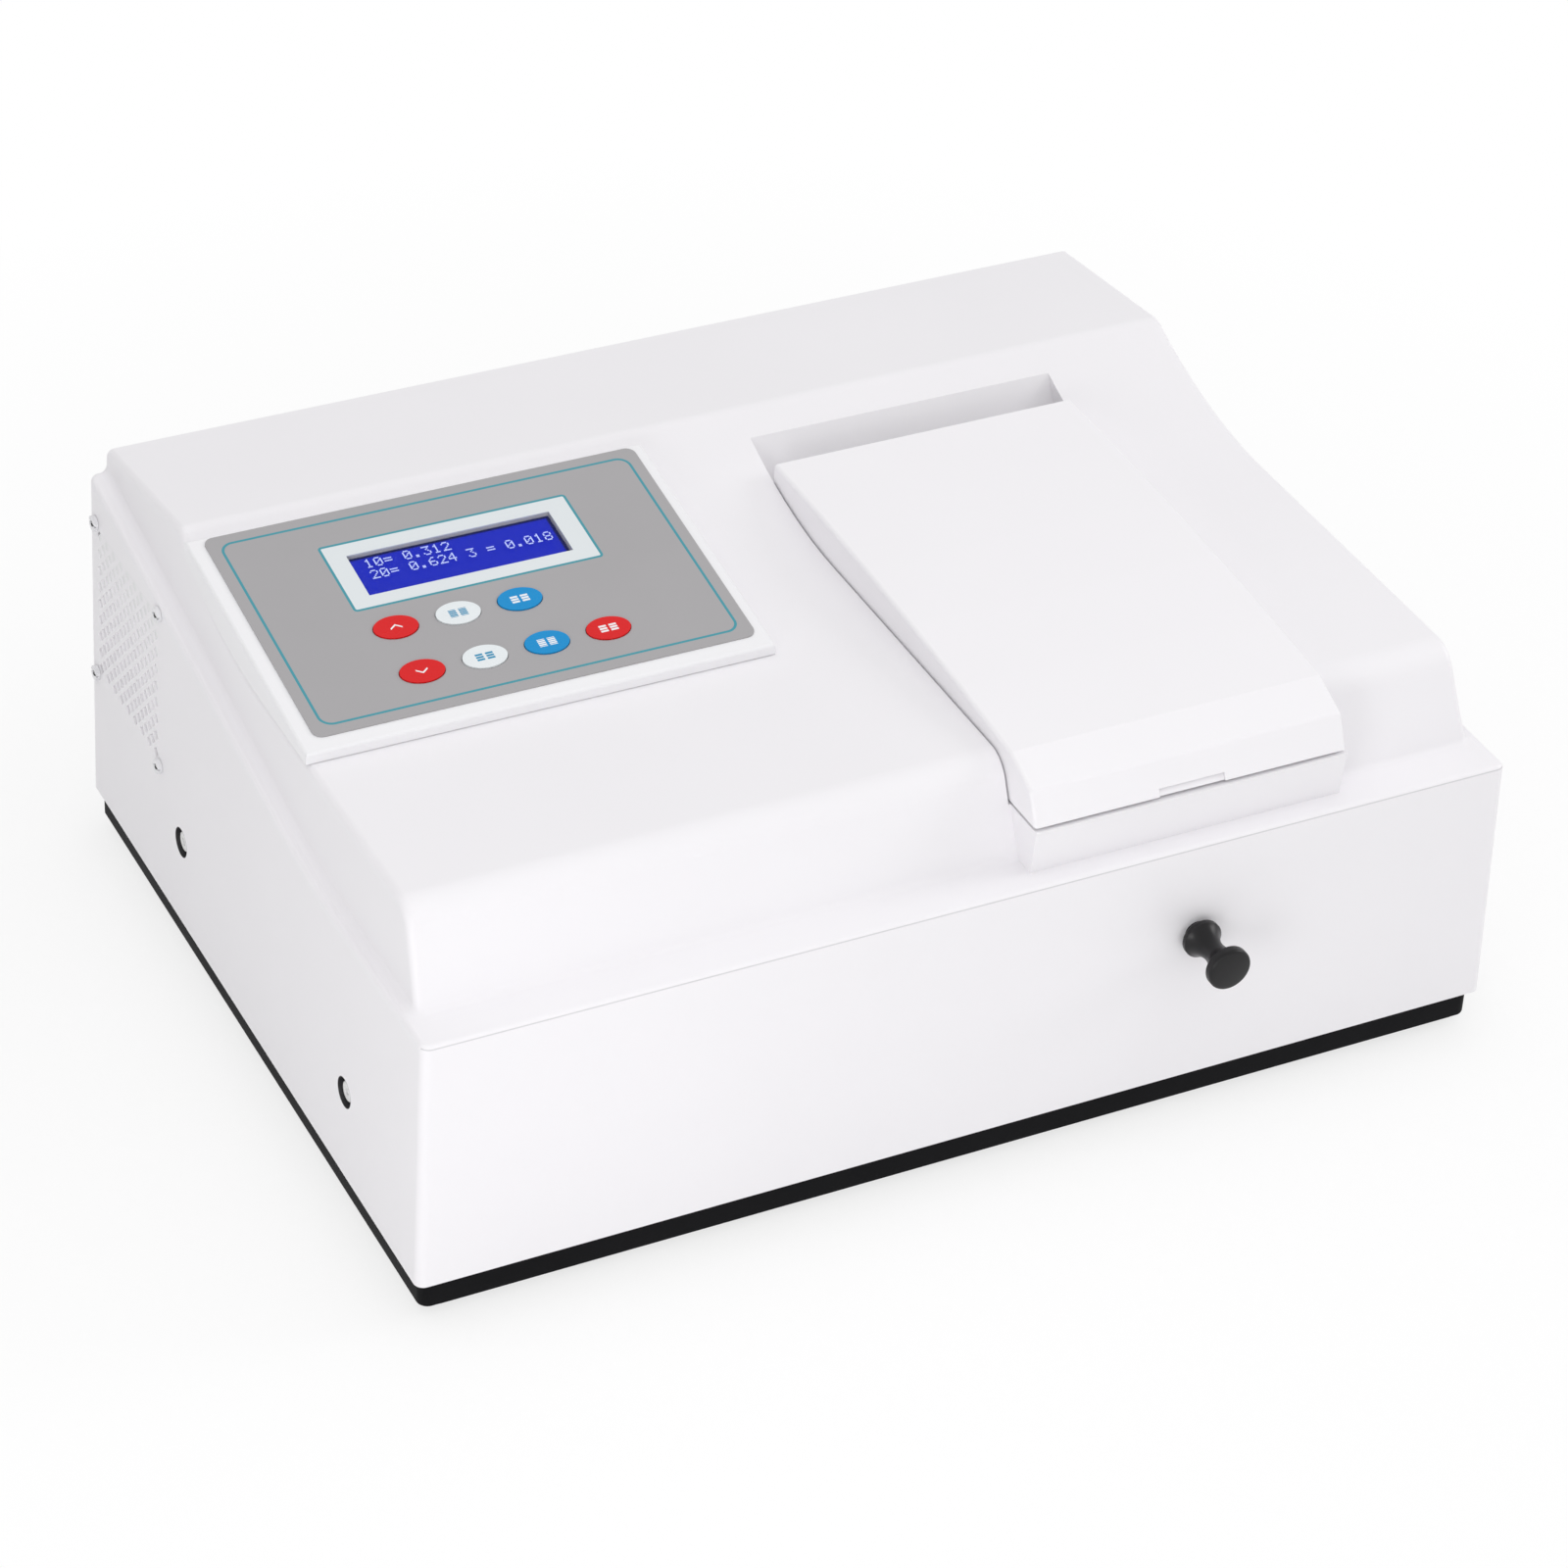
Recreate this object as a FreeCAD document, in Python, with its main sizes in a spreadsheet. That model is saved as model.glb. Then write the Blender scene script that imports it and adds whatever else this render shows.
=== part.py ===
import FreeCAD, Part
import math
import os
import Sketcher
from types import SimpleNamespace

# Bench spectrophotometer, in millimetres.
# X runs to the right, Y to the rear and Z up, seen from the operator's side.
# The origin is on the bench, under the middle of the white cover.

Vector = FreeCAD.Vector
Placement = FreeCAD.Placement
Rotation = FreeCAD.Rotation
doc = FreeCAD.newDocument("Spectrophotometer")

# Driving dimensions: alias in the sheet, its value and what it is
SIZES = {
    # white cover, heights from its foot edge
    "body_width": 460.0,
    "body_depth": 347.0,
    "side_lean": 1.37,
    "front_lean": 1.0,
    "cover_wall": 3.0,
    "shoulder_height": 109.5,
    "climb_setback": 73.5,
    "climb_radius": 400.0,
    "climb_angle": 9.65,
    "deck_side_inset": 8.3,
    "deck_lean": 4.1,
    "deck_height": 145.8,
    "deck_front_setback": 37.5,
    "deck_foot_setback": 21.0,
    "slope_start": 5.0,
    "slope_radius": 184.9,
    "slope_run": 89.0,
    "roof_drop": 9.6,
    "roll_radius": 13.0,
    "ridge_radius": 9.0,
    "corner_radius": 4.0,
    "rim_radius": 3.0,
    "foot_fillet": 3.0,
    "shoulder_radius": 2.0,
    # base and feet
    "foot_height": 5.0,
    "foot_radius": 12.0,
    "foot_spread_x": 185.0,
    "foot_spread_y": 130.0,
    "base_thickness": 13.0,
    "base_skin": 4.0,
    "base_rim": 6.0,
    "base_side_inset": 7.0,
    "base_front_inset": 3.5,
    # clearances
    "flat_gap": 0.3,
    "run_gap": 0.05,
    "screw_clearance": 0.15,
    # screws and brackets
    "cover_screw_radius": 2.0,
    "screw_head_radius": 4.0,
    "screw_head_height": 2.6,
    "fan_screw_radius": 1.9,
    "fan_screw_head": 3.2,
    "bracket_thickness": 3.0,
    "bracket_foot": 22.0,
    "bracket_width": 24.0,
    # lid and the pan that it closes
    "lid_left": 22.0,
    "lid_width": 135.0,
    "lid_gap": 0.8,
    "lid_wall": 3.0,
    "lid_rear": 60.0,
    "lid_rear_height": 161.2,
    "lid_crown": 2.75,
    "lid_bend_setback": 33.5,
    "lid_bend_height": 150.5,
    "lid_brow_setback": 16.5,
    "lid_brow_height": 143.5,
    "lid_lip_setback": 10.5,
    "lid_lip_height": 130.3,
    "pan_floor": 139.5,
    "pan_wall": 2.5,
    "pan_rear": 67.5,
    "pan_slope": 59.4,
    "pan_step_setback": 41.0,
    "bump_height": 19.5,
    "bump_setback": 9.5,
    "bump_undercut": 2.0,
    "notch_width": 28.5,
    "notch_height": 3.0,
    "hinge_y": 52.0,
    "hinge_height": 150.5,
    "hinge_pin_radius": 2.0,
    "hinge_eye_radius": 4.3,
    "rim_wall": 2.5,
    "lid_seal_height": 2.2,
    "seal_overhang": 0.8,
    "rim_gap": 1.5,
    "hinge_inset": 16.5,
    "hinge_slack": 0.4,
    "lug_width": 5.5,
    "post_width": 7.5,
    "lid_heel": 5.5,
    "lid_rise": 1.3,
    "lid_brow_radius": 2.5,
    "lid_edge_radius": 1.5,
    # sample chamber, cell rack and pull rod
    "chamber_width": 107.0,
    "chamber_length": 148.0,
    "chamber_floor": 50.0,
    "chamber_wall": 2.5,
    "mouth_margin": 4.0,
    "chamber_seal_height": 2.8,
    "rack_web": 4.0,
    "rod_hole_gap": 2.0,
    "knob_lip": 2.2,
    "beam_y": -52.0,
    "beam_height": 88.0,
    "beam_radius": 8.0,
    "cell_size": 12.6,
    "cell_pitch": 20.0,
    "rack_width": 30.0,
    "rack_top": 104.0,
    "rack_floor": 62.0,
    "window_width": 7.0,
    "window_height": 22.0,
    "rail_radius": 3.0,
    "rail_spacing": 44.0,
    "rail_height": 58.0,
    "rod_radius": 3.0,
    "rod_height": 68.6,
    "rod_offset": 2.5,
    "bush_radius": 7.0,
    "knob_length": 24.5,
    "knob_gap": 2.5,
    "knob_face_radius": 9.0,
    "knob_back_radius": 8.0,
    "knob_waist_radius": 4.6,
    # keypad bezel on the slope
    "bezel_left": -219.5,
    "bezel_width": 192.5,
    "bezel_front": -42.0,
    "bezel_front_height": 150.4,
    "bezel_tilt": 8.8,
    "bezel_length": 126.5,
    "bezel_plate": 2.5,
    "bezel_radius": 1.2,
    "overlay_margin": 6.5,
    "overlay_width": 181.5,
    "overlay_length": 117.5,
    "overlay_thickness": 0.6,
    "overlay_radius": 4.0,
    "display_left": 55.5,
    "display_front": 67.5,
    "display_width": 85.0,
    "display_length": 24.0,
    "key_left": 58.0,
    "key_front": 21.2,
    "key_pitch_x": 25.6,
    "key_pitch_s": 26.1,
    "key_half_width": 9.0,
    "key_half_length": 6.2,
    "key_proud": 0.5,
    "key_travel": 0.5,
    "key_gap": 0.25,
    "key_flange": 1.0,
    "bezel_wall": 3.0,
    "overlay_rear_margin": 2.0,
    "board_top": -10.0,
    "board_thickness": 1.6,
    "switch_top": -5.7,
    "switch_size": 6.0,
    "stem_radius": 1.6,
    "pillar_radius": 3.0,
    "window_glass": 1.2,
    "keypad_hole_margin": 15.0,
    "keypad_hole_front": 8.0,
    # monochromator
    "mono_left": -150.0,
    "mono_right": 28.0,
    "mono_front": -110.0,
    "mono_rear": 82.0,
    "mono_height": 104.0,
    "mono_wall": 4.0,
    "mono_lid": 3.0,
    "entrance_x": -90.0,
    "grating_x": -8.0,
    "grating_y": 34.0,
    "grating_size": 28.0,
    "table_radius": 20.0,
    "mirror_size": 30.0,
    "mirror_thickness": 7.0,
    "boss_radius": 6.0,
    "slit_width": 0.6,
    "slit_height": 10.0,
    "table_thickness": 5.0,
    "motor_size": 42.0,
    "motor_height": 34.0,
    "motor_spigot": 11.0,
    "shaft_radius": 2.5,
    # detector, boards and transformer
    "detector_depth": 34.0,
    "detector_width": 60.0,
    "detector_height": 54.0,
    "main_board_width": 130.0,
    "main_board_length": 105.0,
    "spacer_height": 8.0,
    "spacer_radius": 3.0,
    "power_left": -50.0,
    "power_width": 64.0,
    "power_length": 66.0,
    "transformer_x": 44.0,
    "transformer_size": 60.0,
    # lamp house and fan
    "lamp_setback": 43.0,
    "lamp_right": -62.0,
    "lamp_front": 90.0,
    "lamp_rear": 164.0,
    "lamp_height": 140.0,
    "lamp_wall": 1.5,
    "tungsten_inset": 32.0,
    "tungsten_y": 111.0,
    "tungsten_radius": 6.0,
    "tungsten_socket": 64.0,
    "deuterium_inset": 37.0,
    "deuterium_y": 143.0,
    "deuterium_radius": 14.0,
    "deuterium_socket": 52.0,
    "swing_y": 127.0,
    "swing_mirror": 30.0,
    "swing_motor_radius": 14.0,
    "swing_motor_height": 48.0,
    "swing_rest": 6.0,
    "fan_size": 80.0,
    "fan_depth": 25.0,
    "fan_y": 129.3,
    "fan_height": 96.0,
    "fan_boss": 8.6,
    "fan_boss_radius": 4.5,
    "fan_hole_spacing": 71.5,
    "fan_bore_radius": 37.5,
    "fan_hub_radius": 15.0,
    "fan_tip_gap": 1.0,
    "fan_strut": 2.5,
    "fan_shaft": 1.5,
    "blade_thickness": 1.4,
    "blade_pitch": 38.0,
    "vent_field": 64.0,
    "vent_pitch": 5.6,
    "vent_hole": 3.6,
    # cover screws in their cups
    "cup_radius": 6.2,
    "cup_wall": 2.0,
    "cup_depth": 13.0,
    "cup_height": 38.5,
    "cup_front_y": -101.0,
    "cup_rear_y": 70.0,
    # rear connector panel
    "panel_setback": 24.0,
    "panel_width": 136.0,
    "panel_height": 66.0,
    "panel_thickness": 2.5,
    "window_rim": 5.0,
    "inlet_width": 27.5,
    "inlet_height": 20.0,
    "rocker_width": 13.0,
    "rocker_height": 19.0,
    "rocker_angle": 9.0,
    "rocker_frame": 1.0,
    "rocker_face": 1.2,
    "rocker_pivot_depth": 0.6,
    "socket_height": 33.0,
    "inlet_place": 34.0,
    "inlet_lip": 2.2,
    "inlet_depth": 20.0,
    "switch_place": 82.0,
    "switch_depth": 18.0,
    "panel_foot": 16.0,
    "panel_screw_depth": 3.0,
}


class Size:
    """A number that keeps the sheet formula it comes from."""

    def __init__(self, number, formula):
        self.number = float(number)
        self.formula = formula

    def __add__(self, other):
        other = as_size(other)
        return Size(self.number + other.number, f"({self.formula} + {other.formula})")

    def __sub__(self, other):
        other = as_size(other)
        return Size(self.number - other.number, f"({self.formula} - {other.formula})")

    def __mul__(self, other):
        other = as_size(other)
        return Size(self.number * other.number, f"({self.formula} * {other.formula})")

    def __truediv__(self, other):
        other = as_size(other)
        return Size(self.number / other.number, f"({self.formula} / {other.formula})")

    def __radd__(self, other):
        return as_size(other) + self

    def __rsub__(self, other):
        return as_size(other) - self

    def __rmul__(self, other):
        return as_size(other) * self

    def __neg__(self):
        return as_size(0.0) - self

    def __float__(self):
        return self.number


def as_size(value):
    if isinstance(value, Size):
        return value
    return Size(value, repr(float(value)))


def sine(angle):
    return Size(math.sin(math.radians(angle.number)), f"sin({angle.formula})")


def cosine(angle):
    return Size(math.cos(math.radians(angle.number)), f"cos({angle.formula})")


def tangent(angle):
    return Size(math.tan(math.radians(angle.number)), f"tan({angle.formula})")


def root(value):
    return Size(math.sqrt(value.number), f"sqrt({value.formula})")


sheet = doc.addObject("Spreadsheet::Sheet", "Sizes")
for row, (alias, value) in enumerate(SIZES.items(), start=1):
    sheet.set(f"A{row}", alias.replace("_", " "))
    sheet.set(f"B{row}", str(value))
    sheet.setAlias(f"B{row}", alias)
doc.recompute()
s = SimpleNamespace(**{name: Size(number, "Sizes." + name) for name, number in SIZES.items()})

TURNS = {
    "X": Rotation(Vector(0, 1, 0), 90),
    "Y": Rotation(Vector(1, 0, 0), -90),
    "Z": Rotation(),
}
PLANES = {"XY": "XY_Plane", "XZ": "XZ_Plane", "YZ": "YZ_Plane"}
nodes = {}
counter = {}


def fresh(name):
    """A name that no object has yet."""
    counter[name] = counter.get(name, 0) + 1
    return f"{name}_{counter[name]}"


def bind(item, prop, value):
    item.setExpression(prop, as_size(value).formula)


def bind_base(item, x, y, z):
    for letter, value in (("x", x), ("y", y), ("z", z)):
        bind(item, "Placement.Base." + letter, value)


def box(x, y, z, name="block"):
    """Block between pairs of low and high faces along X, Y and Z."""
    item = doc.addObject("Part::Box", fresh(name))
    bind(item, "Length", as_size(x[1]) - x[0])
    bind(item, "Width", as_size(y[1]) - y[0])
    bind(item, "Height", as_size(z[1]) - z[0])
    bind_base(item, x[0], y[0], z[0])
    return item


def cylinder(axis, radius, span, centre, name="round"):
    """Cylinder along X, Y or Z over span, centred on the two other coordinates."""
    item = doc.addObject("Part::Cylinder", fresh(name))
    bind(item, "Radius", radius)
    bind(item, "Height", as_size(span[1]) - span[0])
    item.Placement = Placement(Vector(), TURNS[axis])
    first, second = centre
    places = {"X": (span[0], first, second), "Y": (first, span[0], second), "Z": (first, second, span[0])}
    bind_base(item, *places[axis])
    return item


def cone(axis, radii, span, centre, name="cone"):
    """Cone along an axis, its radius going from the first to the second."""
    item = doc.addObject("Part::Cone", fresh(name))
    bind(item, "Radius1", radii[0])
    bind(item, "Radius2", radii[1])
    bind(item, "Height", as_size(span[1]) - span[0])
    item.Placement = Placement(Vector(), TURNS[axis])
    first, second = centre
    places = {"X": (span[0], first, second), "Y": (first, span[0], second), "Z": (first, second, span[0])}
    bind_base(item, *places[axis])
    return item


def joined(*items, name="joined"):
    if len(items) == 1:
        return items[0]
    item = doc.addObject("Part::MultiFuse", fresh(name))
    item.Shapes = list(items)
    item.Refine = True
    return item


def cut(base, *tools, name="cut"):
    item = doc.addObject("Part::Cut", fresh(name))
    item.Base = base
    item.Tool = joined(*tools)
    item.Refine = True
    return item


def common(*items, name="common"):
    item = doc.addObject("Part::MultiCommon", fresh(name))
    item.Shapes = list(items)
    item.Refine = True
    return item


def group(items, name="group"):
    """Separate solids that one node holds."""
    item = doc.addObject("Part::Compound", fresh(name))
    item.Links = list(items)
    return item


def keep(name, item):
    """Names the finished piece, which also names its file."""
    item.Label = name
    nodes[name] = item
    return item


def origin_plane(body, plane):
    for feature in body.Origin.OriginFeatures:
        if feature.Role == PLANES[plane]:
            return feature
    raise ValueError(plane)


def draw(sketch, points):
    """Closed outline. A point may carry a radius, which bends the line that leaves it:
    a positive radius bulges to the left of the way it is drawn, a negative one to the right."""
    count = len(points)
    corners = [Vector(float(p[0]), float(p[1]), 0) for p in points]
    for index, point in enumerate(points):
        start = corners[index]
        end = corners[(index + 1) % count]
        if len(point) == 3:
            radius = abs(float(point[2]))
            half = (end - start).Length / 2
            rise = radius - math.sqrt(radius * radius - half * half)
            along = (end - start).normalize()
            left = Vector(-along.y, along.x, 0)
            side = 1 if float(point[2]) > 0 else -1
            middle = (start + end) / 2 + left * rise * side
            sketch.addGeometry(Part.Arc(start, middle, end), False)
        else:
            sketch.addGeometry(Part.LineSegment(start, end), False)
    return corners


def start_end(sketch, index, start):
    """Which end of an edge lies at its start: an arc drawn clockwise is stored reversed."""
    edge = sketch.Geometry[index]
    return 1 if (edge.StartPoint - start).Length < (edge.EndPoint - start).Length else 2


def sketch_on(body, plane, points, offset=0.0):
    """Sketch of a closed outline on one of the body's own origin planes, every corner bound to the sheet."""
    sketch = body.newObject("Sketcher::SketchObject", fresh("sketch"))
    sketch.AttachmentSupport = [(origin_plane(body, plane), "")]
    sketch.MapMode = "FlatFace"
    bind(sketch, "AttachmentOffset.Base.z", offset)
    corners = draw(sketch, points)
    count = len(points)
    starts = [start_end(sketch, index, corners[index]) for index in range(count)]
    for index, point in enumerate(points):
        if len(point) == 3:
            radius = point[2] if float(point[2]) > 0 else -as_size(point[2])
            number = sketch.addConstraint(Sketcher.Constraint("Radius", index, float(radius)))
            sketch.setExpression(f"Constraints[{number}]", as_size(radius).formula)
    for index in range(count):
        following = (index + 1) % count
        sketch.addConstraint(
            Sketcher.Constraint("Coincident", index, 3 - starts[index], following, starts[following]))
    for index, point in enumerate(points):
        for kind, value in (("DistanceX", point[0]), ("DistanceY", point[1])):
            number = sketch.addConstraint(
                Sketcher.Constraint(kind, -1, 1, index, starts[index], float(value)))
            sketch.setExpression(f"Constraints[{number}]", as_size(value).formula)
    return sketch


def profile(plane, points, low, high, name="profile"):
    """Body: an outline on an origin plane, padded from low to high along the plane's own normal axis."""
    body = doc.addObject("PartDesign::Body", fresh(name))
    towards = -1 if plane == "XZ" else 1
    start = low if towards == 1 else -as_size(high)
    sketch = sketch_on(body, plane, points, start)
    pad = body.newObject("PartDesign::Pad", fresh("pad"))
    pad.Profile = sketch
    bind(pad, "Length", as_size(high) - low)
    body.Tip = pad
    doc.recompute()
    return body


def round_edges(body, choose, radius):
    """Fillet on the edges of the body's last feature that choose(edge) picks."""
    doc.recompute()
    tip = body.Tip
    picked = [f"Edge{i}" for i, edge in enumerate(tip.Shape.Edges, start=1) if choose(edge)]
    fillet = body.newObject("PartDesign::Fillet", fresh("fillet"))
    fillet.Base = (tip, picked)
    bind(fillet, "Radius", radius)
    body.Tip = fillet
    doc.recompute()
    return body


def near_line(first, second, axis="X", slack=0.5):
    """Picks edges along an axis that pass through the two other coordinates."""
    letters = {"X": (1, 2, 0), "Y": (0, 2, 1), "Z": (0, 1, 2)}[axis]

    def choose(edge):
        if len(edge.Vertexes) != 2:
            return False
        a, b = edge.Vertexes[0].Point, edge.Vertexes[1].Point
        middle = (a + b) / 2
        along = abs(a[letters[2]] - b[letters[2]])
        straight = along > 0.9 * (a - b).Length and along > 1
        off = math.hypot(middle[letters[0]] - float(first), middle[letters[1]] - float(second))
        return straight and off < slack
    return choose


def filleted(base, choose, radius, name="rounded"):
    """Fillet on a boolean's chosen edges."""
    doc.recompute()
    item = doc.addObject("Part::Fillet", fresh(name))
    item.Base = base
    item.Edges = [(i, float(radius), float(radius))
                  for i, edge in enumerate(base.Shape.Edges, start=1) if choose(edge)]
    return item


# Levels and faces that several pieces share
foot_z = s.foot_height + s.base_thickness
half_width = s.body_width / 2
front = -(s.body_depth / 2)
rear = s.body_depth / 2


def level(height):
    """Height over the bench of a height over the cover's foot edge."""
    return foot_z + height


def side_in(height):
    """How far the leaning side has come in at a height."""
    return height * tangent(s.side_lean)


# White cover: a leaning skirt whose top climbs to the rear, and a narrower raised deck on it
def skirt(inset, low):
    ledge_y = front + s.climb_setback
    climb_y = ledge_y + s.climb_radius * sine(s.climb_angle)
    climb_z = s.shoulder_height + s.climb_radius * (1 - cosine(s.climb_angle))
    rear_z = climb_z + (rear - climb_y) * tangent(s.climb_angle)
    arc = s.climb_radius + inset
    side = [
        (front + inset, level(low)),
        (front + inset + s.shoulder_height * tangent(s.front_lean), level(s.shoulder_height) - inset),
        (ledge_y, level(s.shoulder_height) - inset, -arc),
        (ledge_y + arc * sine(s.climb_angle),
         level(s.shoulder_height) - inset + arc * (1 - cosine(s.climb_angle))),
        (rear - inset, level(rear_z) - inset),
        (rear - inset, level(low)),
    ]
    wide = profile("YZ", side, -half_width, half_width, "skirt_side")
    top = s.deck_height
    across = [
        (-half_width + inset + side_in(as_size(low)), level(low)),
        (half_width - inset - side_in(as_size(low)), level(low)),
        (half_width - inset - side_in(top + 40), level(top + 40)),
        (-half_width + inset + side_in(top + 40), level(top + 40)),
    ]
    tall = profile("XZ", across, front - 1, rear + 1, "skirt_front")
    return common(wide, tall, name="skirt")


slope_rise = s.slope_radius - root(s.slope_radius * s.slope_radius - s.slope_run * s.slope_run)
ridge_y = s.slope_start + s.slope_run
ridge_height = s.deck_height + slope_rise


def deck(inset, low):
    arc = s.slope_radius + inset
    foot_y = front + s.deck_foot_setback
    edge_y = front + s.deck_front_setback
    arc_rise = arc - root(arc * arc - s.slope_run * s.slope_run)
    side = [
        (foot_y + inset, level(low)),
        (foot_y + inset, level(s.shoulder_height)),
        (edge_y + inset, level(s.deck_height) - inset),
        (s.slope_start, level(s.deck_height) - inset, -arc),
        (ridge_y, level(s.deck_height) - inset + arc_rise),
        (rear - inset, level(ridge_height - s.roof_drop) - inset),
        (rear - inset, level(low)),
    ]
    wide = profile("YZ", side, -half_width, half_width, "deck_side")
    round_edges(wide, near_line(edge_y + inset, level(s.deck_height) - inset), s.roll_radius - inset)
    round_edges(wide, near_line(ridge_y, level(s.deck_height) - inset + arc_rise, slack=2.0),
                s.ridge_radius - inset)
    base_x = half_width - s.deck_side_inset - inset
    top_x = base_x - (ridge_height + 10 - s.shoulder_height) * tangent(s.deck_lean)
    low_x = base_x + (s.shoulder_height - low) * tangent(s.deck_lean)
    across = [
        (-low_x, level(low)),
        (low_x, level(low)),
        (top_x, level(ridge_height + 10)),
        (-top_x, level(ridge_height + 10)),
    ]
    tall = profile("XZ", across, front - 1, rear + 1, "deck_front")
    return common(wide, tall, name="deck")


NO_INSET = as_size(0.0)
lid_right = s.lid_left + s.lid_width
lid_middle = s.lid_left + s.lid_width / 2
bump_front = front + s.bump_setback
bump_top = s.shoulder_height + s.bump_height
pan_left = s.lid_left - s.lid_gap
pan_right = lid_right + s.lid_gap
pan_step = front + s.pan_step_setback
deck_edge = front + s.deck_front_setback
high = level(ridge_height + 20)


deck_side = half_width - s.deck_side_inset
deck_foot = front + s.deck_foot_setback


def runs_back(edge):
    return edge.BoundBox.YLength > max(edge.BoundBox.XLength, edge.BoundBox.ZLength, 0.3)


def beside_deck(edge):
    return deck_side.number - 8 < abs(edge.BoundBox.Center.x) < deck_side.number + 3


def deck_line(edge):
    """Height of the deck's own top at the middle of an edge, near enough to tell its edges apart."""
    y = edge.BoundBox.Center.y
    climb = max(0.0, y - s.slope_start.number) / s.slope_run.number
    return level(s.deck_height).number + min(climb, 1.0) * slope_rise.number - s.ridge_radius.number * 1.5


def on_deck_rim(edge):
    """Edge between the deck's side and its top, and the deck's two front corners."""
    box_ = edge.BoundBox
    corner = box_.ZLength > box_.YLength > 8 and box_.Center.y < 0
    rim = box_.Center.z > min(deck_line(edge), level(s.deck_height).number + 6) and box_.XLength < 6
    roof = box_.Center.y > s.slope_start.number and box_.Center.z > deck_line(edge)
    before = box_.Center.y <= s.slope_start.number and rim
    return beside_deck(edge) and (corner or ((roof or before) and runs_back(edge)))


def at_deck_foot(edge):
    """Edge where the deck stands on the skirt, at its sides and front."""
    box_ = edge.BoundBox
    ahead = box_.XLength > 100 and abs(box_.Center.y - deck_foot.number) < 1 and box_.ZLength < 1
    return (beside_deck(edge) and runs_back(edge) and not on_deck_rim(edge)) or ahead


def on_skirt_corner(edge):
    box_ = edge.BoundBox
    return box_.ZLength > 60 and abs(box_.Center.x) > deck_side.number + 3


def on_shoulder(edge):
    """Edge round the top of the skirt."""
    box_ = edge.BoundBox
    low = box_.ZMin > level(s.shoulder_height).number - 1
    side = abs(box_.Center.x) > deck_side.number + 3 and runs_back(edge)
    ahead = box_.XLength > 100 and box_.Center.y < deck_foot.number - 5
    return low and (side or ahead)


def bump_block(inset, low):
    """Block under the lid's lip, whose face leans in towards its foot."""
    lean = s.bump_undercut / s.bump_height
    foot = bump_front + (bump_top - low) * lean + inset
    outline = [(foot, level(low)), (bump_front + inset, level(bump_top) - inset),
               (pan_step - inset, level(bump_top) - inset), (pan_step - inset, level(low))]
    return profile("YZ", outline, s.lid_left + inset, lid_right - inset, "bump")


def cover_form():
    """Outside of the cover with its edges rounded."""
    bump = bump_block(NO_INSET, s.shoulder_height - 2)
    raw = joined(skirt(NO_INSET, 0.0), deck(NO_INSET, 60.0), name="cover_form")
    form = filleted(raw, on_deck_rim, s.rim_radius, "deck_rim")
    form = filleted(form, on_skirt_corner, s.corner_radius, "skirt_corners")
    form = filleted(form, on_shoulder, s.shoulder_radius, "shoulder")
    form = filleted(form, at_deck_foot, s.foot_fillet, "deck_foot")
    return joined(form, bump, name="cover_outside")


# Places that the inside of the cover takes from its pieces
chamber_left = lid_middle - s.chamber_width / 2
chamber_right = lid_middle + s.chamber_width / 2
chamber_front = s.beam_y - s.chamber_length / 2
chamber_rear = s.beam_y + s.chamber_length / 2
mouth_front = chamber_front + s.mouth_margin
mouth_rear = chamber_rear - s.mouth_margin
wall_y_at_rod = front + s.rod_height * tangent(s.front_lean)
rod_place = (lid_middle + s.rod_offset, level(s.rod_height))
cup_floor_x = half_width - s.cup_depth
cup_end_x = cup_floor_x - s.cover_wall
fan_face = -(half_width - side_in(s.fan_height + s.fan_size / 2) - s.cover_wall - s.fan_boss)
panel_face = rear - s.cover_wall - s.flat_gap
panel_right = half_width - s.panel_setback
panel_left = panel_right - s.panel_width
sides = (-1, 1)


def both_ways(first, second):
    """Every pair of one of the first and one of the second."""
    return [(a, b) for a in first for b in second]


def vent_holes():
    """Diamond holes in a lattice through the left wall, in front of the fan."""
    step = s.vent_pitch * math.sqrt(2)
    rows = int(s.vent_field.number / (step.number / 2))
    columns = int(s.vent_field.number / step.number)
    holes = []
    for row in range(-(rows // 2), rows // 2 + 1):
        shift = 0.5 * (row % 2)
        for column in range(-(columns // 2), columns // 2 + 1 - (row % 2)):
            hole = doc.addObject("Part::Box", fresh("vent"))
            bind(hole, "Length", s.cover_wall * 6)
            bind(hole, "Width", s.vent_hole)
            bind(hole, "Height", s.vent_hole)
            hole.Placement = Placement(Vector(), Rotation(Vector(1, 0, 0), 45))
            bind_base(hole, -half_width - s.cover_wall, s.fan_y + step * (column + shift),
                      level(s.fan_height) + step * (row / 2) - s.vent_hole * math.sqrt(0.5))
            holes.append(hole)
    return group(holes, "vents")


def pan_side(wall):
    """Side view of the pan under the lid: flat floor and a rear wall that slopes up to the deck."""
    low = level(s.pan_floor) - wall
    foot = s.pan_rear + wall
    top = high + 30
    return [(pan_step - s.pan_wall, low), (foot, low), (foot + (top - low) / tangent(s.pan_slope), top),
            (pan_step - s.pan_wall, top)]


def fan_bolt_places():
    half = s.fan_hole_spacing / 2
    return [(s.fan_y + half * a, s.fan_height + half * b) for a, b in both_ways(sides, sides)]


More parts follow.
